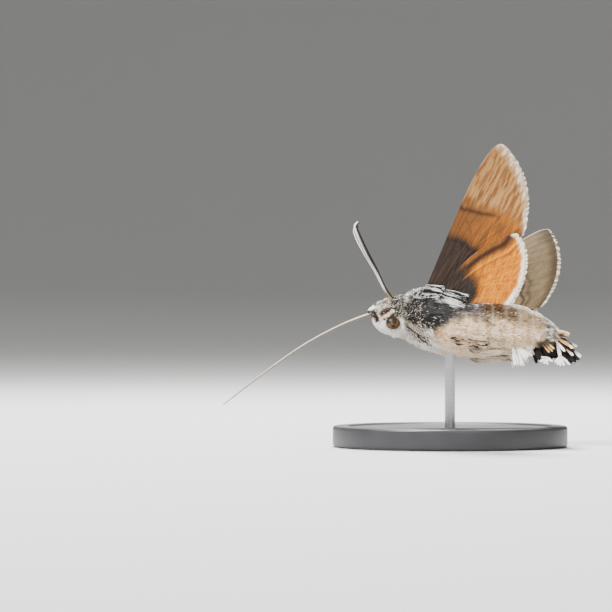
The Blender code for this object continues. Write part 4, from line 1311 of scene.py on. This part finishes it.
# Single blades of each side: root and tip as (back, up, outwards), seen level from the raised left side,
# and width and colours.
TAIL_BLADES = (
    ((13.2, -0.6, 1.1), (15.85, -1.25, 1.7), 0.72, TAN, BEIGE),
    ((13.4, -1.2, 1.3), (16.75, -3.0, 2.0), 0.46, UMBER, BROWN),
    ((16.1, -2.55, 2.05), (16.8, -3.05, 2.15), 0.42, GREY, GREY),
    ((13.0, -1.15, 1.6), (16.0, -3.05, 2.4), 0.5, BROWN, TAN),
    ((15.3, -2.55, 2.35), (16.2, -3.25, 2.5), 0.46, TAN, CREAM),
    ((13.5, -1.8, 1.9), (14.98, -3.7, 2.8), 0.42, GREY, WHITE),
    ((14.0, -2.1, 1.6), (15.6, -3.75, 2.4), 0.5, BLACK, BLACK),
    ((15.3, -3.45, 2.4), (16.2, -4.3, 2.6), 0.4, TAN, CREAM),
    ((14.2, -1.9, 1.5), (16.9, -4.15, 2.2), 0.55, BLACK, BLACK),
    ((16.45, -3.65, 2.2), (17.3, -4.5, 2.4), 0.5, GREY, CREAM),
    ((14.2, -2.4, 1.4), (17.1, -4.95, 2.1), 0.6, BLACK, BLACK),
    ((14.2, -2.8, 1.5), (16.6, -5.25, 2.2), 0.6, BLACK, BLACK),
    ((14.0, -3.2, 1.6), (15.95, -5.4, 2.3), 0.55, BLACK, BLACK),
    ((13.8, -3.4, 1.6), (15.2, -5.35, 2.3), 0.5, BLACK, BLACK),
    ((13.9, -2.1, 2.0), (14.4, -4.9, 2.7), 0.5, GREY, WHITE),
    ((14.35, -4.2, 2.7), (13.55, -5.25, 2.9), 0.3, WHITE, WHITE),
    ((14.35, -4.2, 2.7), (13.85, -5.6, 3.0), 0.34, WHITE, WHITE),
    ((14.35, -4.2, 2.7), (14.25, -5.8, 3.0), 0.34, WHITE, WHITE),
    ((14.4, -4.3, 2.7), (14.8, -5.75, 3.0), 0.34, WHITE, WHITE),
    ((14.4, -4.4, 2.7), (15.65, -5.6, 2.9), 0.34, WHITE, WHITE),
    ((14.4, -4.3, 2.7), (15.35, -5.15, 2.8), 0.26, WHITE, WHITE),
    ((12.35, -4.45, 2.1), (11.6, -4.55, 2.4), 0.26, WHITE, WHITE),
    ((12.4, -4.5, 2.1), (11.45, -5.2, 2.4), 0.34, WHITE, WHITE),
    ((12.35, -4.5, 2.1), (12.0, -5.5, 2.4), 0.3, WHITE, WHITE),
    ((12.35, -4.5, 2.1), (12.5, -5.6, 2.4), 0.3, WHITE, WHITE),
    ((12.3, -4.6, 2.1), (13.25, -5.15, 2.4), 0.34, WHITE, WHITE),
    ((12.4, -4.5, 2.1), (12.9, -4.75, 2.3), 0.24, WHITE, WHITE),
    ((14.6, -5.2, 1.5), (17.2, -5.75, 1.6), 0.12, BLACK, GREY),
    ((12.1, -2.5, 2.7), (13.2, -3.7, 3.0), 0.3, BROWN, TAN),
    ((11.8, -2.7, 2.7), (12.75, -3.85, 3.0), 0.3, BROWN, TAN),
    ((12.4, -2.3, 2.6), (13.45, -3.35, 2.9), 0.3, BROWN, BEIGE),
)
# Side tufts: place and half length of the row, degrees above the side, vanes, then length and lean at
# the row's start and end, width, colours and droop.
SIDE_TUFTS = (
    (8.05, 0.6, -63.0, 20, (3.1, 1.0), (82.0, 6.0), 0.3, CREAM, WHITE, 0.5),
    (8.3, 0.5, -47.0, 26, (1.4, 1.4), (14.0, 8.0), 0.3, BEIGE, CREAM, 0.0),
    (11.5, 1.1, -66.0, 50, (1.9, 2.3), (70.0, 24.0), 0.36, BLACK, BLACK, 0.3),
)
TUFT_DEPTH = 0.5
# The bank of the trunk lets the right tufts flare higher on the body than the left ones.
RIGHT_TUFT_RISE = 27.0
DOWN = np.array((0.0, 0.0, -1.0))


def to_world(directions):
    """World directions for directions in the trunk's own frame."""
    return turned(np.asarray(directions, float), TRUNK_BANK)


def build_tail_fan():
    """The fan of long blunt scales at the abdomen's end."""
    draw = np.random.default_rng(91)
    groups = []
    for tier, row in enumerate(FAN_TIERS):
        count, half_spread, pitch, ease, height, length, width, root_colour, tip_colour = row
        place = np.linspace(-1.0, 1.0, count) + draw.normal(0.0, 0.35 / count, count)
        yaw = np.radians(half_spread * place)
        drop = np.radians(pitch + ease * draw.uniform(-1.0, 1.0, count))
        along = np.column_stack((np.cos(drop) * np.cos(yaw), np.cos(drop) * np.sin(yaw), np.sin(drop)))
        x = FAN_ROOT_X + draw.uniform(-0.5, 0.1, count)
        roots = np.column_stack((x, 1.15 * place, height + draw.uniform(-0.12, 0.12, count)))
        lengths = length * draw.uniform(0.78, 1.06, count)
        widths = width * draw.uniform(0.85, 1.12, count)
        shade = draw.uniform(0.8, 1.1, (count, 1))
        colours = np.tile(chart(root_colour), (count, 1)) * shade
        tips = np.tile(chart(tip_colour), (count, 1)) * shade
        bake = np.column_stack((np.full(count, 0.9 + 0.006 * tier), 0.1 + 0.35 * (place + 1.2)))
        roll = np.radians(58.0 * place + draw.normal(0.0, 10.0, count))[:, None]
        side = unit(np.cross((0.0, 0.0, 1.0), along))
        normals = np.cross(along, side) * np.cos(roll) + side * np.sin(roll)
        groups.append((
            BODY_AXIS + to_world(roots), to_world(normals), to_world(along), lengths, widths,
            np.zeros(count), np.full(count, 0.05), colours, tips, bake,
        ))
    groups.extend(tail_blades(side) for _, side in SIDES)
    values = [np.concatenate(items) for items in zip(*groups)]
    piece = strands("tail_fan_vanes", VANE, *values)
    finish_piece(piece, coat_material("tail_scales", 0.6), ("tail_fan",), smooth=False)


def tail_blades(side):
    """Roots, directions, sizes and colours of the single blades of one side."""
    ends = np.array([(root, tip) for root, tip, *_ in TAIL_BLADES])
    back, up, out = np.moveaxis(ends, 2, 0)
    up = (up + side * out * math.sin(TRUNK_BANK)) / math.cos(TRUNK_BANK)
    roots, tips = np.moveaxis(np.stack((back, out * side, up), axis=2), 1, 0)
    lengths = np.linalg.norm(tips - roots, axis=1)
    along = unit(tips - roots)
    facing = np.array((0.0, side, 0.25))
    normals = unit(facing - along * (along @ facing)[:, None])
    count = len(ends)
    widths, root_tones, tip_tones = [np.array(items) for items in list(zip(*TAIL_BLADES))[2:]]
    turn = 0.02 + 0.02 * np.arange(count) + (0.5 if side > 0 else 0.0)
    bake = np.column_stack((np.full(count, 0.96), turn))
    none = np.zeros(count)
    colours = [chart(tones.astype(float)) for tones in (root_tones, tip_tones)]
    places = (BODY_AXIS + to_world(roots), to_world(normals), to_world(along))
    return (*places, lengths, widths, none, none, *colours, bake)


def build_side_tufts():
    """The white, cream and black tufts of long scales along the abdomen's sides."""
    draw = np.random.default_rng(92)
    groups = []
    for tuft, row in enumerate(SIDE_TUFTS):
        x, reach, above, count, sizes, leans, width, root_colour, tip_colour, droop = row
        for _, side in SIDES:
            place = np.linspace(-1.0, 1.0, count) + draw.normal(0.0, 0.6 / count, count)
            rise = RIGHT_TUFT_RISE if side > 0 else 0.0
            above_each = np.radians(above + rise + draw.uniform(-4.0, 4.0, count))
            around = above_each if side > 0 else math.pi - above_each
            along_body = x + reach * place
            share = np.clip((place + 1.0) / 2.0, 0.0, 1.0)
            roots = body_point(along_body, around, -TUFT_DEPTH)
            out = unit(body_point(along_body, around, 1.0) - body_point(along_body, around, 0.0))
            hang = unit(out + DOWN * droop)
            turn = np.radians(mix(*leans, share**1.5) + draw.uniform(-3.0, 3.0, count))[:, None]
            along = unit(np.array((1.0, 0.0, 0.0)) * np.cos(turn) + hang * np.sin(turn))
            flat = unit(np.cross((1.0, 0.0, 0.0), hang))
            normals = unit(np.cross(along, np.cross(flat, along)))
            normals = normals * np.sign(np.sum(normals * out, axis=1, keepdims=True) + 1e-9)
            lengths = (mix(*sizes, share**2) + TUFT_DEPTH) * draw.uniform(0.88, 1.06, count)
            widths = width * draw.uniform(0.75, 1.15, count)
            shade = draw.uniform(0.82, 1.06, (count, 1))
            colours = np.tile(chart(root_colour), (count, 1)) * shade
            tips = np.tile(chart(tip_colour), (count, 1)) * shade
            bake = np.column_stack((np.full(count, 0.98), 0.1 + 0.1 * tuft + 0.03 * (place + 1.0)))
            lifts = np.zeros(count)
            drops = np.full(count, 0.06)
            groups.append((roots, normals, along, lengths, widths, lifts, drops, colours, tips, bake))
    values = [np.concatenate(items) for items in zip(*groups)]
    piece = strands("side_tufts", VANE, *values)
    finish_piece(piece, coat_material("tuft_scales", 0.6), smooth=False)


# Stand

BASE_RADIUS = 17.0
BASE_HEIGHT = 3.0
BASE_BEVEL = 0.5
ROD_RADIUS = 0.75


def build_stand(colour):
    """Round turned base with a slim steel rod up to the thorax."""
    bpy.ops.object.select_all(action="DESELECT")
    bpy.ops.mesh.primitive_cylinder_add(
        vertices=128,
        radius=BASE_RADIUS * MM,
        depth=BASE_HEIGHT * MM,
        location=(0.0, 0.0, BASE_HEIGHT / 2 * MM),
    )
    base = bpy.context.object
    base.name = "stand_plinth"
    bpy.ops.object.transform_apply(location=True, rotation=True, scale=True)
    inset_top(base, 2.2, -0.25)
    apply_modifier(base, "BEVEL", width=BASE_BEVEL * 0.8 * MM, segments=5, angle_limit=math.radians(40.0))
    smooth_by_angle(base)
    finish_piece(base, stand_material(colour), ("stand_base",), smooth=None)
    bpy.ops.object.select_all(action="DESELECT")
    low = BASE_HEIGHT - 0.4
    high = BODY_AXIS[2]
    bpy.ops.mesh.primitive_cylinder_add(
        vertices=48,
        radius=ROD_RADIUS * MM,
        depth=(high - low) * MM,
        location=(0.0, 0.0, (high + low) / 2 * MM),
    )
    rod = bpy.context.object
    rod.name = "stand_pin"
    bpy.ops.object.transform_apply(location=True, rotation=True, scale=True)
    smooth_by_angle(rod)
    finish_piece(rod, steel_material(), ("stand_rod",), smooth=None)


def inset_top(item, width, depth):
    """Insets the flat top and moves the inner face up or down."""
    select_only(item)
    bpy.ops.object.mode_set(mode="EDIT")
    bpy.ops.mesh.select_all(action="DESELECT")
    bpy.ops.object.mode_set(mode="OBJECT")
    for face in item.data.polygons:
        face.select = face.normal.z > 0.9
    bpy.ops.object.mode_set(mode="EDIT")
    bpy.ops.mesh.inset(thickness=width * MM, depth=0.0)
    bpy.ops.mesh.inset(thickness=0.3 * MM, depth=depth * MM)
    bpy.ops.object.mode_set(mode="OBJECT")


def smooth_by_angle(item):
    """Smooth shading with sharp edges where faces turn by more than 30 degrees."""
    select_only(item)
    bpy.ops.object.shade_smooth_by_angle(angle=math.radians(30.0))


# Materials

def new_material(name, roughness, metallic=0.0):
    """A material with its node tree, main shader and output."""
    made = bpy.data.materials.new(name)
    made.use_nodes = True
    shader = made.node_tree.nodes["Principled BSDF"]
    shader.inputs["Roughness"].default_value = roughness
    shader.inputs["Metallic"].default_value = metallic
    return made, shader


def add_node(made, kind, inputs=None, links=None, **settings):
    """Adds a node, sets it and links outputs of other nodes to its inputs."""
    node = made.node_tree.nodes.new(kind)
    for key, value in settings.items():
        setattr(node, key, value)
    for key, value in (inputs or {}).items():
        node.inputs[key].default_value = value
    for key, source in (links or {}).items():
        made.node_tree.links.new(source, node.inputs[key])
    return node


def link(made, source, target):
    """Links an output to an input."""
    made.node_tree.links.new(source, target)


def object_noise(made, scale, detail=3.0):
    """Fine noise fixed to the piece."""
    place = add_node(made, "ShaderNodeTexCoord")
    return add_node(
        made, "ShaderNodeTexNoise", {"Scale": scale, "Detail": detail}, {"Vector": place.outputs["Object"]}
    )


def add_bump(made, shader, height, strength, distance):
    """Raises a material's surface by a height pattern."""
    bump = add_node(
        made, "ShaderNodeBump", {"Strength": strength, "Distance": distance}, {"Height": height}
    )
    link(made, bump.outputs["Normal"], shader.inputs["Normal"])


def shaded_marking(made, pattern, dark, light):
    """The piece's marking colours, varied by a pattern between a dark and a light share."""
    marking = add_node(made, "ShaderNodeAttribute", attribute_name="Marking")
    ramp = add_node(
        made, "ShaderNodeMapRange", {"To Min": dark, "To Max": light}, {"Value": pattern}
    )
    scaled = add_node(
        made, "ShaderNodeVectorMath", None, {0: marking.outputs["Color"]}, operation="SCALE"
    )
    link(made, ramp.outputs["Result"], scaled.inputs["Scale"])
    return scaled.outputs["Vector"]


def coat_material(name, roughness):
    """Scales and hairs in the marking colours, with a soft sheen."""
    found = bpy.data.materials.get(name)
    if found:
        return found
    made, shader = new_material(name, roughness)
    noise = object_noise(made, 2600.0)
    link(made, shaded_marking(made, noise.outputs["Fac"], 0.86, 1.12), shader.inputs["Base Color"])
    add_bump(made, shader, noise.outputs["Fac"], 0.25, 0.00005)
    shader.inputs["Sheen Weight"].default_value = 0.04
    shader.inputs["Specular IOR Level"].default_value = 0.18
    return made


def wing_material(name):
    """Wing scales in overlapping rows over the marking colours."""
    found = bpy.data.materials.get(name + "_scales")
    if found:
        return found
    made, shader = new_material(name + "_scales", 0.62)
    plan = add_node(made, "ShaderNodeUVMap", uv_map="Wing")
    stretch = add_node(
        made, "ShaderNodeMapping", {"Scale": (0.55, 1.0, 1.0)}, {"Vector": plan.outputs["UV"]}
    )
    scales = add_node(
        made, "ShaderNodeTexVoronoi", {"Scale": 95.0}, {"Vector": stretch.outputs["Vector"]}
    )
    link(made, shaded_marking(made, scales.outputs["Color"], 0.8, 1.18), shader.inputs["Base Color"])
    add_bump(made, shader, scales.outputs["Distance"], 0.35, 0.00004)
    shader.inputs["Sheen Weight"].default_value = 0.04
    shader.inputs["Specular IOR Level"].default_value = 0.2
    return made


EYE_DARK = (0.012, 0.007, 0.005, 1.0)
# Dark false pupils, painted shade in the upper front and a painted dark rim, darker towards the eye's edge:
# place along and up from the eye's middle, distances and strengths there.
EYE_SPOTS = (
    ((-0.6, 0.66), 0.5, 1.0, (0.92, 0.0)),
    ((-0.66, 0.06), 0.16, 0.4, (0.95, 0.0)),
    ((0.16, 0.1), 0.2, 0.42, (1.0, 0.0)),
    ((0.18, 0.42), 0.2, 0.42, (1.0, 0.0)),
    ((0.0, -0.5), 0.14, 0.32, (0.95, 0.0)),
    ((-0.36, -0.34), 0.06, 0.22, (0.7, 0.0)),
    ((0.0, 0.0), 0.74, 1.12, (0.0, 0.9)),
)


def eye_material(colour, side):
    """Glossy golden brown facets with dark false pupils, painted shade and a painted dark rim."""
    made, shader = new_material("eye_facets_" + ("left" if side < 0 else "right"), 0.42)
    place = add_node(made, "ShaderNodeTexCoord")
    noise = object_noise(made, 1500.0)
    dark = tuple(0.45 * value for value in colour)
    shades = add_node(made, "ShaderNodeMix", {6: (*dark, 1.0), 7: (*colour, 1.0)}, data_type="RGBA")
    link(made, noise.outputs["Fac"], shades.inputs[0])
    base = shades.outputs[2]
    for (along, up), near, far, strength in EYE_SPOTS:
        centre = eye_spot(along, up, side)
        offset = add_node(
            made,
            "ShaderNodeVectorMath",
            {1: tuple(centre * MM)},
            {0: place.outputs["Object"]},
            operation="DISTANCE",
        )
        cover = add_node(
            made,
            "ShaderNodeMapRange",
            {"From Min": near * MM, "From Max": far * MM, "To Min": strength[0], "To Max": strength[1]},
            {"Value": offset.outputs["Value"]},
            interpolation_type="SMOOTHSTEP",
        )
        spotted = add_node(made, "ShaderNodeMix", {7: EYE_DARK}, data_type="RGBA")
        link(made, cover.outputs["Result"], spotted.inputs[0])
        link(made, base, spotted.inputs[6])
        base = spotted.outputs[2]
    link(made, base, shader.inputs["Base Color"])
    facets = add_node(made, "ShaderNodeTexVoronoi", {"Scale": 22000.0}, {"Vector": place.outputs["Object"]})
    add_bump(made, shader, facets.outputs["Distance"], 0.12, 0.00002)
    shader.inputs["Specular IOR Level"].default_value = 0.3
    return made


def eye_spot(along, up, side):
    """World place of a spot on an eye's outer face."""
    deep = math.sqrt(max(0.02, 1.0 - (along / EYE_RADII[0]) ** 2 - (up / EYE_RADII[2]) ** 2))
    place = EYE * (1.0, side, 1.0) + np.array((along, side * EYE_RADII[1] * deep, up))
    return from_head(place)[0]


def horn_material():
    """Smooth horn with fine rings, darker in patches."""
    made, shader = new_material("smooth_horn", 0.3)
    noise = object_noise(made, 500.0)
    link(made, shaded_marking(made, noise.outputs["Fac"], 0.7, 1.15), shader.inputs["Base Color"])
    place = add_node(made, "ShaderNodeTexCoord")
    rings = add_node(
        made, "ShaderNodeTexWave", {"Scale": 1400.0, "Distortion": 0.6}, {"Vector": place.outputs["Object"]}
    )
    add_bump(made, shader, rings.outputs["Fac"], 0.2, 0.00002)
    return made


def stand_material(colour):
    """Satin black plastic with a fine moulded grain and a few rubbed places."""
    made, shader = new_material("satin_black", 0.38)
    noise = object_noise(made, 260.0, 6.0)
    worn = tuple(min(1.0, 1.8 * value + 0.01) for value in colour)
    shades = add_node(made, "ShaderNodeMix", {6: (*colour, 1.0), 7: (*worn, 1.0)}, data_type="RGBA")
    link(made, noise.outputs["Fac"], shades.inputs[0])
    link(made, shades.outputs[2], shader.inputs["Base Color"])
    gloss = add_node(
        made, "ShaderNodeMapRange", {"To Min": 0.3, "To Max": 0.5}, {"Value": noise.outputs["Fac"]}
    )
    link(made, gloss.outputs["Result"], shader.inputs["Roughness"])
    grain = object_noise(made, 5200.0)
    add_bump(made, shader, grain.outputs["Fac"], 0.12, 0.00002)
    return made


def steel_material():
    """Brushed steel with fine scratches round the rod."""
    made, shader = new_material("brushed_rod", 0.28, 1.0)
    place = add_node(made, "ShaderNodeTexCoord")
    stretch = add_node(
        made, "ShaderNodeMapping", {"Scale": (200.0, 200.0, 9000.0)}, {"Vector": place.outputs["Object"]}
    )
    lines = add_node(made, "ShaderNodeTexNoise", {"Scale": 1.0}, {"Vector": stretch.outputs["Vector"]})
    shades = add_node(
        made, "ShaderNodeMix", {6: (0.36, 0.36, 0.37, 1.0), 7: (0.62, 0.62, 0.61, 1.0)}, data_type="RGBA"
    )
    link(made, lines.outputs["Fac"], shades.inputs[0])
    link(made, shades.outputs[2], shader.inputs["Base Color"])
    gloss = add_node(
        made, "ShaderNodeMapRange", {"To Min": 0.2, "To Max": 0.42}, {"Value": lines.outputs["Fac"]}
    )
    link(made, gloss.outputs["Result"], shader.inputs["Roughness"])
    add_bump(made, shader, lines.outputs["Fac"], 0.08, 0.00001)
    return made


# Stage

CAMERA_PLACE = (-20.87, -492.8, 20.35)
LENS = 200.0
# The floor's profile: distance from the stand and height, flat and then curving up all round.
FLOOR_PROFILE = (
    (0.0, -0.02),
    (650.0, -0.02),
    (900.0, 25.0),
    (1130.0, 110.0),
    (1330.0, 260.0),
    (1480.0, 480.0),
    (1570.0, 780.0),
    (1600.0, 1150.0),
)
FLOOR_RINGS = 40
FLOOR_SIDES = 96
LIGHTS = (
    ("key", (-300.0, -190.0, 400.0), 120.0, 6.0),
    ("fill", (120.0, -430.0, 270.0), 300.0, 1.4),
    ("rim", (0.0, 280.0, 440.0), 150.0, 11.0),
)


def build_stage(stage):
    """Pale floor curving up to a backdrop, soft lights and the camera."""
    bpy.ops.object.select_all(action="DESELECT")
    bpy.ops.mesh.primitive_uv_sphere_add(segments=FLOOR_SIDES, ring_count=2 * FLOOR_RINGS, radius=MM)
    floor = bpy.context.object
    floor.name = "floor"
    ball = mesh_points(floor)
    out = unit(ball * (1.0, 1.0, 0.0) + (0.0, 0.0, 1e-12))
    rows = [(k, *row) for k, row in enumerate(FLOOR_PROFILE)]
    reach, height = smooth_values(rows, (len(rows) - 1.0) * (1.0 + ball[:, 2]) / 2.0)
    rise = np.column_stack((np.zeros((len(ball), 2)), height))
    set_points(floor, out * (1.0, 1.0, 0.0) * reach[:, None] + rise)
    select_only(floor)
    bpy.ops.object.mode_set(mode="EDIT")
    bpy.ops.mesh.select_all(action="SELECT")
    bpy.ops.mesh.flip_normals()
    bpy.ops.mesh.select_all(action="DESELECT")
    bpy.ops.object.mode_set(mode="OBJECT")
    for vertex, height_share in zip(floor.data.vertices, ball[:, 2]):
        vertex.select = height_share > 0.9999
    bpy.ops.object.mode_set(mode="EDIT")
    bpy.ops.mesh.delete(type="VERT")
    bpy.ops.object.mode_set(mode="OBJECT")
    floor.data.shade_smooth()
    made, shader = new_material("pale_floor", 0.9)
    shader.inputs["Base Color"].default_value = (*stage.floor_colour, 1.0)
    floor.data.materials.append(made)
    world = bpy.data.worlds.new("soft_room")
    world.use_nodes = True
    world.node_tree.nodes["Background"].inputs["Color"].default_value = (*stage.sky_colour, 1.0)
    world.node_tree.nodes["Background"].inputs["Strength"].default_value = stage.sky_strength
    bpy.context.scene.world = world
    for name, place, size, power in LIGHTS:
        light = bpy.data.lights.new(name, "AREA")
        light.shape = "DISK"
        light.size = size * MM
        light.energy = power * stage.light_power
        item = bpy.data.objects.new(name, light)
        bpy.context.scene.collection.objects.link(item)
        item.location = Vector(place) * MM
        item.rotation_euler = (Vector((0.0, 0.0, 20.0)) - Vector(place)).to_track_quat("-Z", "Y").to_euler()
    camera = bpy.data.cameras.new("camera")
    camera.lens = LENS
    camera.sensor_width = 36.0
    camera.clip_start = 0.01
    item = bpy.data.objects.new("camera", camera)
    bpy.context.scene.collection.objects.link(item)
    item.location = Vector(CAMERA_PLACE) * MM
    item.rotation_euler = (math.radians(90.0), 0.0, 0.0)
    bpy.context.scene.camera = item


# Add-on

class HawkMothCoat(bpy.types.PropertyGroup):
    """Sizes of the coat."""

    strand_width: FloatProperty(
        name="Strand width", description="Width of a hair", default=0.00014, subtype="DISTANCE", unit="LENGTH"
    )
    head_spacing: FloatProperty(
        name="Head spacing", description="Distance between the head's hairs", default=0.00008, unit="LENGTH"
    )
    body_spacing: FloatProperty(
        name="Body spacing", description="Distance between the body's hairs", default=0.00012, unit="LENGTH"
    )


class HawkMothWings(bpy.types.PropertyGroup):
    """Sizes of the wings."""

    thickness: FloatProperty(
        name="Thickness", description="Thickness of the membrane", default=0.0001, unit="LENGTH"
    )


class HawkMothColours(bpy.types.PropertyGroup):
    """Colours of the hard parts."""

    eye: FloatVectorProperty(
        name="Eye", description="Colour of the eyes", default=(0.17, 0.085, 0.022), subtype="COLOR", size=3
    )
    horn: FloatVectorProperty(
        name="Horn",
        description="Colour of the proboscis",
        default=(0.13, 0.085, 0.05),
        subtype="COLOR",
        size=3,
    )
    stand: FloatVectorProperty(
        name="Stand", description="Colour of the base", default=(0.022, 0.022, 0.024), subtype="COLOR", size=3
    )


class HawkMothStage(bpy.types.PropertyGroup):
    """Floor and light."""

    floor_colour: FloatVectorProperty(
        name="Floor", description="Colour of the floor", default=(0.5, 0.5, 0.495), subtype="COLOR", size=3
    )
    sky_colour: FloatVectorProperty(
        name="Room",
        description="Colour of the room's light",
        default=(1.0, 0.99, 0.97),
        subtype="COLOR",
        size=3,
    )
    sky_strength: FloatProperty(name="Room strength", description="Strength of the room's light", default=0.3)
    light_power: FloatProperty(name="Lamp power", description="Factor on every lamp's own power", default=1.0)


class HAWKMOTH_OT_skin(bpy.types.Operator):
    """Model the seamless skin under the coat"""

    bl_idname = "hawkmoth.skin"
    bl_label = "Skin"

    def execute(self, context):
        build_skin()
        return {"FINISHED"}


class HAWKMOTH_OT_eyes(bpy.types.Operator):
    """Model the two compound eyes"""

    bl_idname = "hawkmoth.eyes"
    bl_label = "Eyes"

    def execute(self, context):
        build_eyes(tuple(context.scene.hawkmoth_colours.eye))
        return {"FINISHED"}


class HAWKMOTH_OT_coat(bpy.types.Operator):
    """Grow the fur of the head, palps, thorax and abdomen"""

    bl_idname = "hawkmoth.coat"
    bl_label = "Coat"

    def execute(self, context):
        settings = context.scene.hawkmoth_coat
        head_spacing = settings.head_spacing / MM
        body_spacing = settings.body_spacing / MM
        build_coat("head", FACE_X + 0.02, -8.1, settings, head_length, head_spacing, 101)
        build_coat("thorax", -8.3, 1.0, settings, thorax_length, THORAX_CLOSENESS * body_spacing, 201)
        build_coat("abdomen", 0.7, TAIL_X - 0.02, settings, abdomen_length, body_spacing, 301)
        build_shoulders(settings)
        build_palp_coat(settings)
        return {"FINISHED"}


class HAWKMOTH_OT_wings(bpy.types.Operator):
    """Model the four wings with their veins and fringes"""

    bl_idname = "hawkmoth.wings"
    bl_label = "Wings"

    def execute(self, context):
        for wing in WINGS:
            for side_name, side in SIDES:
                build_wing(*wing, side_name, side, context.scene.hawkmoth_wings)
        return {"FINISHED"}


class HAWKMOTH_OT_antennae(bpy.types.Operator):
    """Model the two hooked antennae"""

    bl_idname = "hawkmoth.antennae"
    bl_label = "Antennae"

    def execute(self, context):
        build_antennae()
        return {"FINISHED"}


class HAWKMOTH_OT_proboscis(bpy.types.Operator):
    """Model the long proboscis"""

    bl_idname = "hawkmoth.proboscis"
    bl_label = "Proboscis"

    def execute(self, context):
        build_proboscis(tuple(context.scene.hawkmoth_colours.horn))
        return {"FINISHED"}


class HAWKMOTH_OT_legs(bpy.types.Operator):
    """Model the six legs with spurs and claws"""

    bl_idname = "hawkmoth.legs"
    bl_label = "Legs"

    def execute(self, context):
        build_legs(context.scene.hawkmoth_coat)
        return {"FINISHED"}


class HAWKMOTH_OT_tail(bpy.types.Operator):
    """Grow the tail fan and the side tufts"""

    bl_idname = "hawkmoth.tail"
    bl_label = "Tail fan and side tufts"

    def execute(self, context):
        build_tail_fan()
        build_side_tufts()
        return {"FINISHED"}


class HAWKMOTH_OT_stand(bpy.types.Operator):
    """Model the display stand"""

    bl_idname = "hawkmoth.stand"
    bl_label = "Stand"

    def execute(self, context):
        build_stand(tuple(context.scene.hawkmoth_colours.stand))
        return {"FINISHED"}


class HAWKMOTH_OT_stage(bpy.types.Operator):
    """Set up the floor, the lights and the camera"""

    bl_idname = "hawkmoth.stage"
    bl_label = "Stage"

    def execute(self, context):
        build_stage(context.scene.hawkmoth_stage)
        return {"FINISHED"}


GROUPS = (
    ("hawkmoth_coat", HawkMothCoat),
    ("hawkmoth_wings", HawkMothWings),
    ("hawkmoth_colours", HawkMothColours),
    ("hawkmoth_stage", HawkMothStage),
)
STEPS = (
    HAWKMOTH_OT_skin,
    HAWKMOTH_OT_eyes,
    HAWKMOTH_OT_coat,
    HAWKMOTH_OT_wings,
    HAWKMOTH_OT_antennae,
    HAWKMOTH_OT_proboscis,
    HAWKMOTH_OT_legs,
    HAWKMOTH_OT_tail,
    HAWKMOTH_OT_stand,
    HAWKMOTH_OT_stage,
)


class HAWKMOTH_PT_panel(bpy.types.Panel):
    """Lists the moth's pieces and their settings"""

    bl_idname = "HAWKMOTH_PT_panel"
    bl_label = "Hawk Moth"
    bl_space_type = "VIEW_3D"
    bl_region_type = "UI"
    bl_category = "Hawk Moth"

    def draw(self, context):
        for name, group in GROUPS:
            settings = getattr(context.scene, name)
            for key in group.__annotations__:
                self.layout.prop(settings, key)
        for step in STEPS:
            self.layout.operator(step.bl_idname)


def register():
    """Registers the settings, operators and panel."""
    for name, group in GROUPS:
        bpy.utils.register_class(group)
        setattr(bpy.types.Scene, name, PointerProperty(type=group))
    for item in (*STEPS, HAWKMOTH_PT_panel):
        bpy.utils.register_class(item)


def unregister():
    """Removes what register added."""
    for item in reversed((*STEPS, HAWKMOTH_PT_panel)):
        bpy.utils.unregister_class(item)
    for name, group in reversed(GROUPS):
        delattr(bpy.types.Scene, name)
        bpy.utils.unregister_class(group)


def main():
    register()
    bpy.ops.hawkmoth.skin()
    bpy.ops.hawkmoth.eyes()
    bpy.ops.hawkmoth.coat()
    bpy.ops.hawkmoth.wings()
    bpy.ops.hawkmoth.antennae()
    bpy.ops.hawkmoth.proboscis()
    bpy.ops.hawkmoth.legs()
    bpy.ops.hawkmoth.tail()
    bpy.ops.hawkmoth.stand()
    bpy.ops.hawkmoth.stage()


if __name__ == "__main__":
    main()
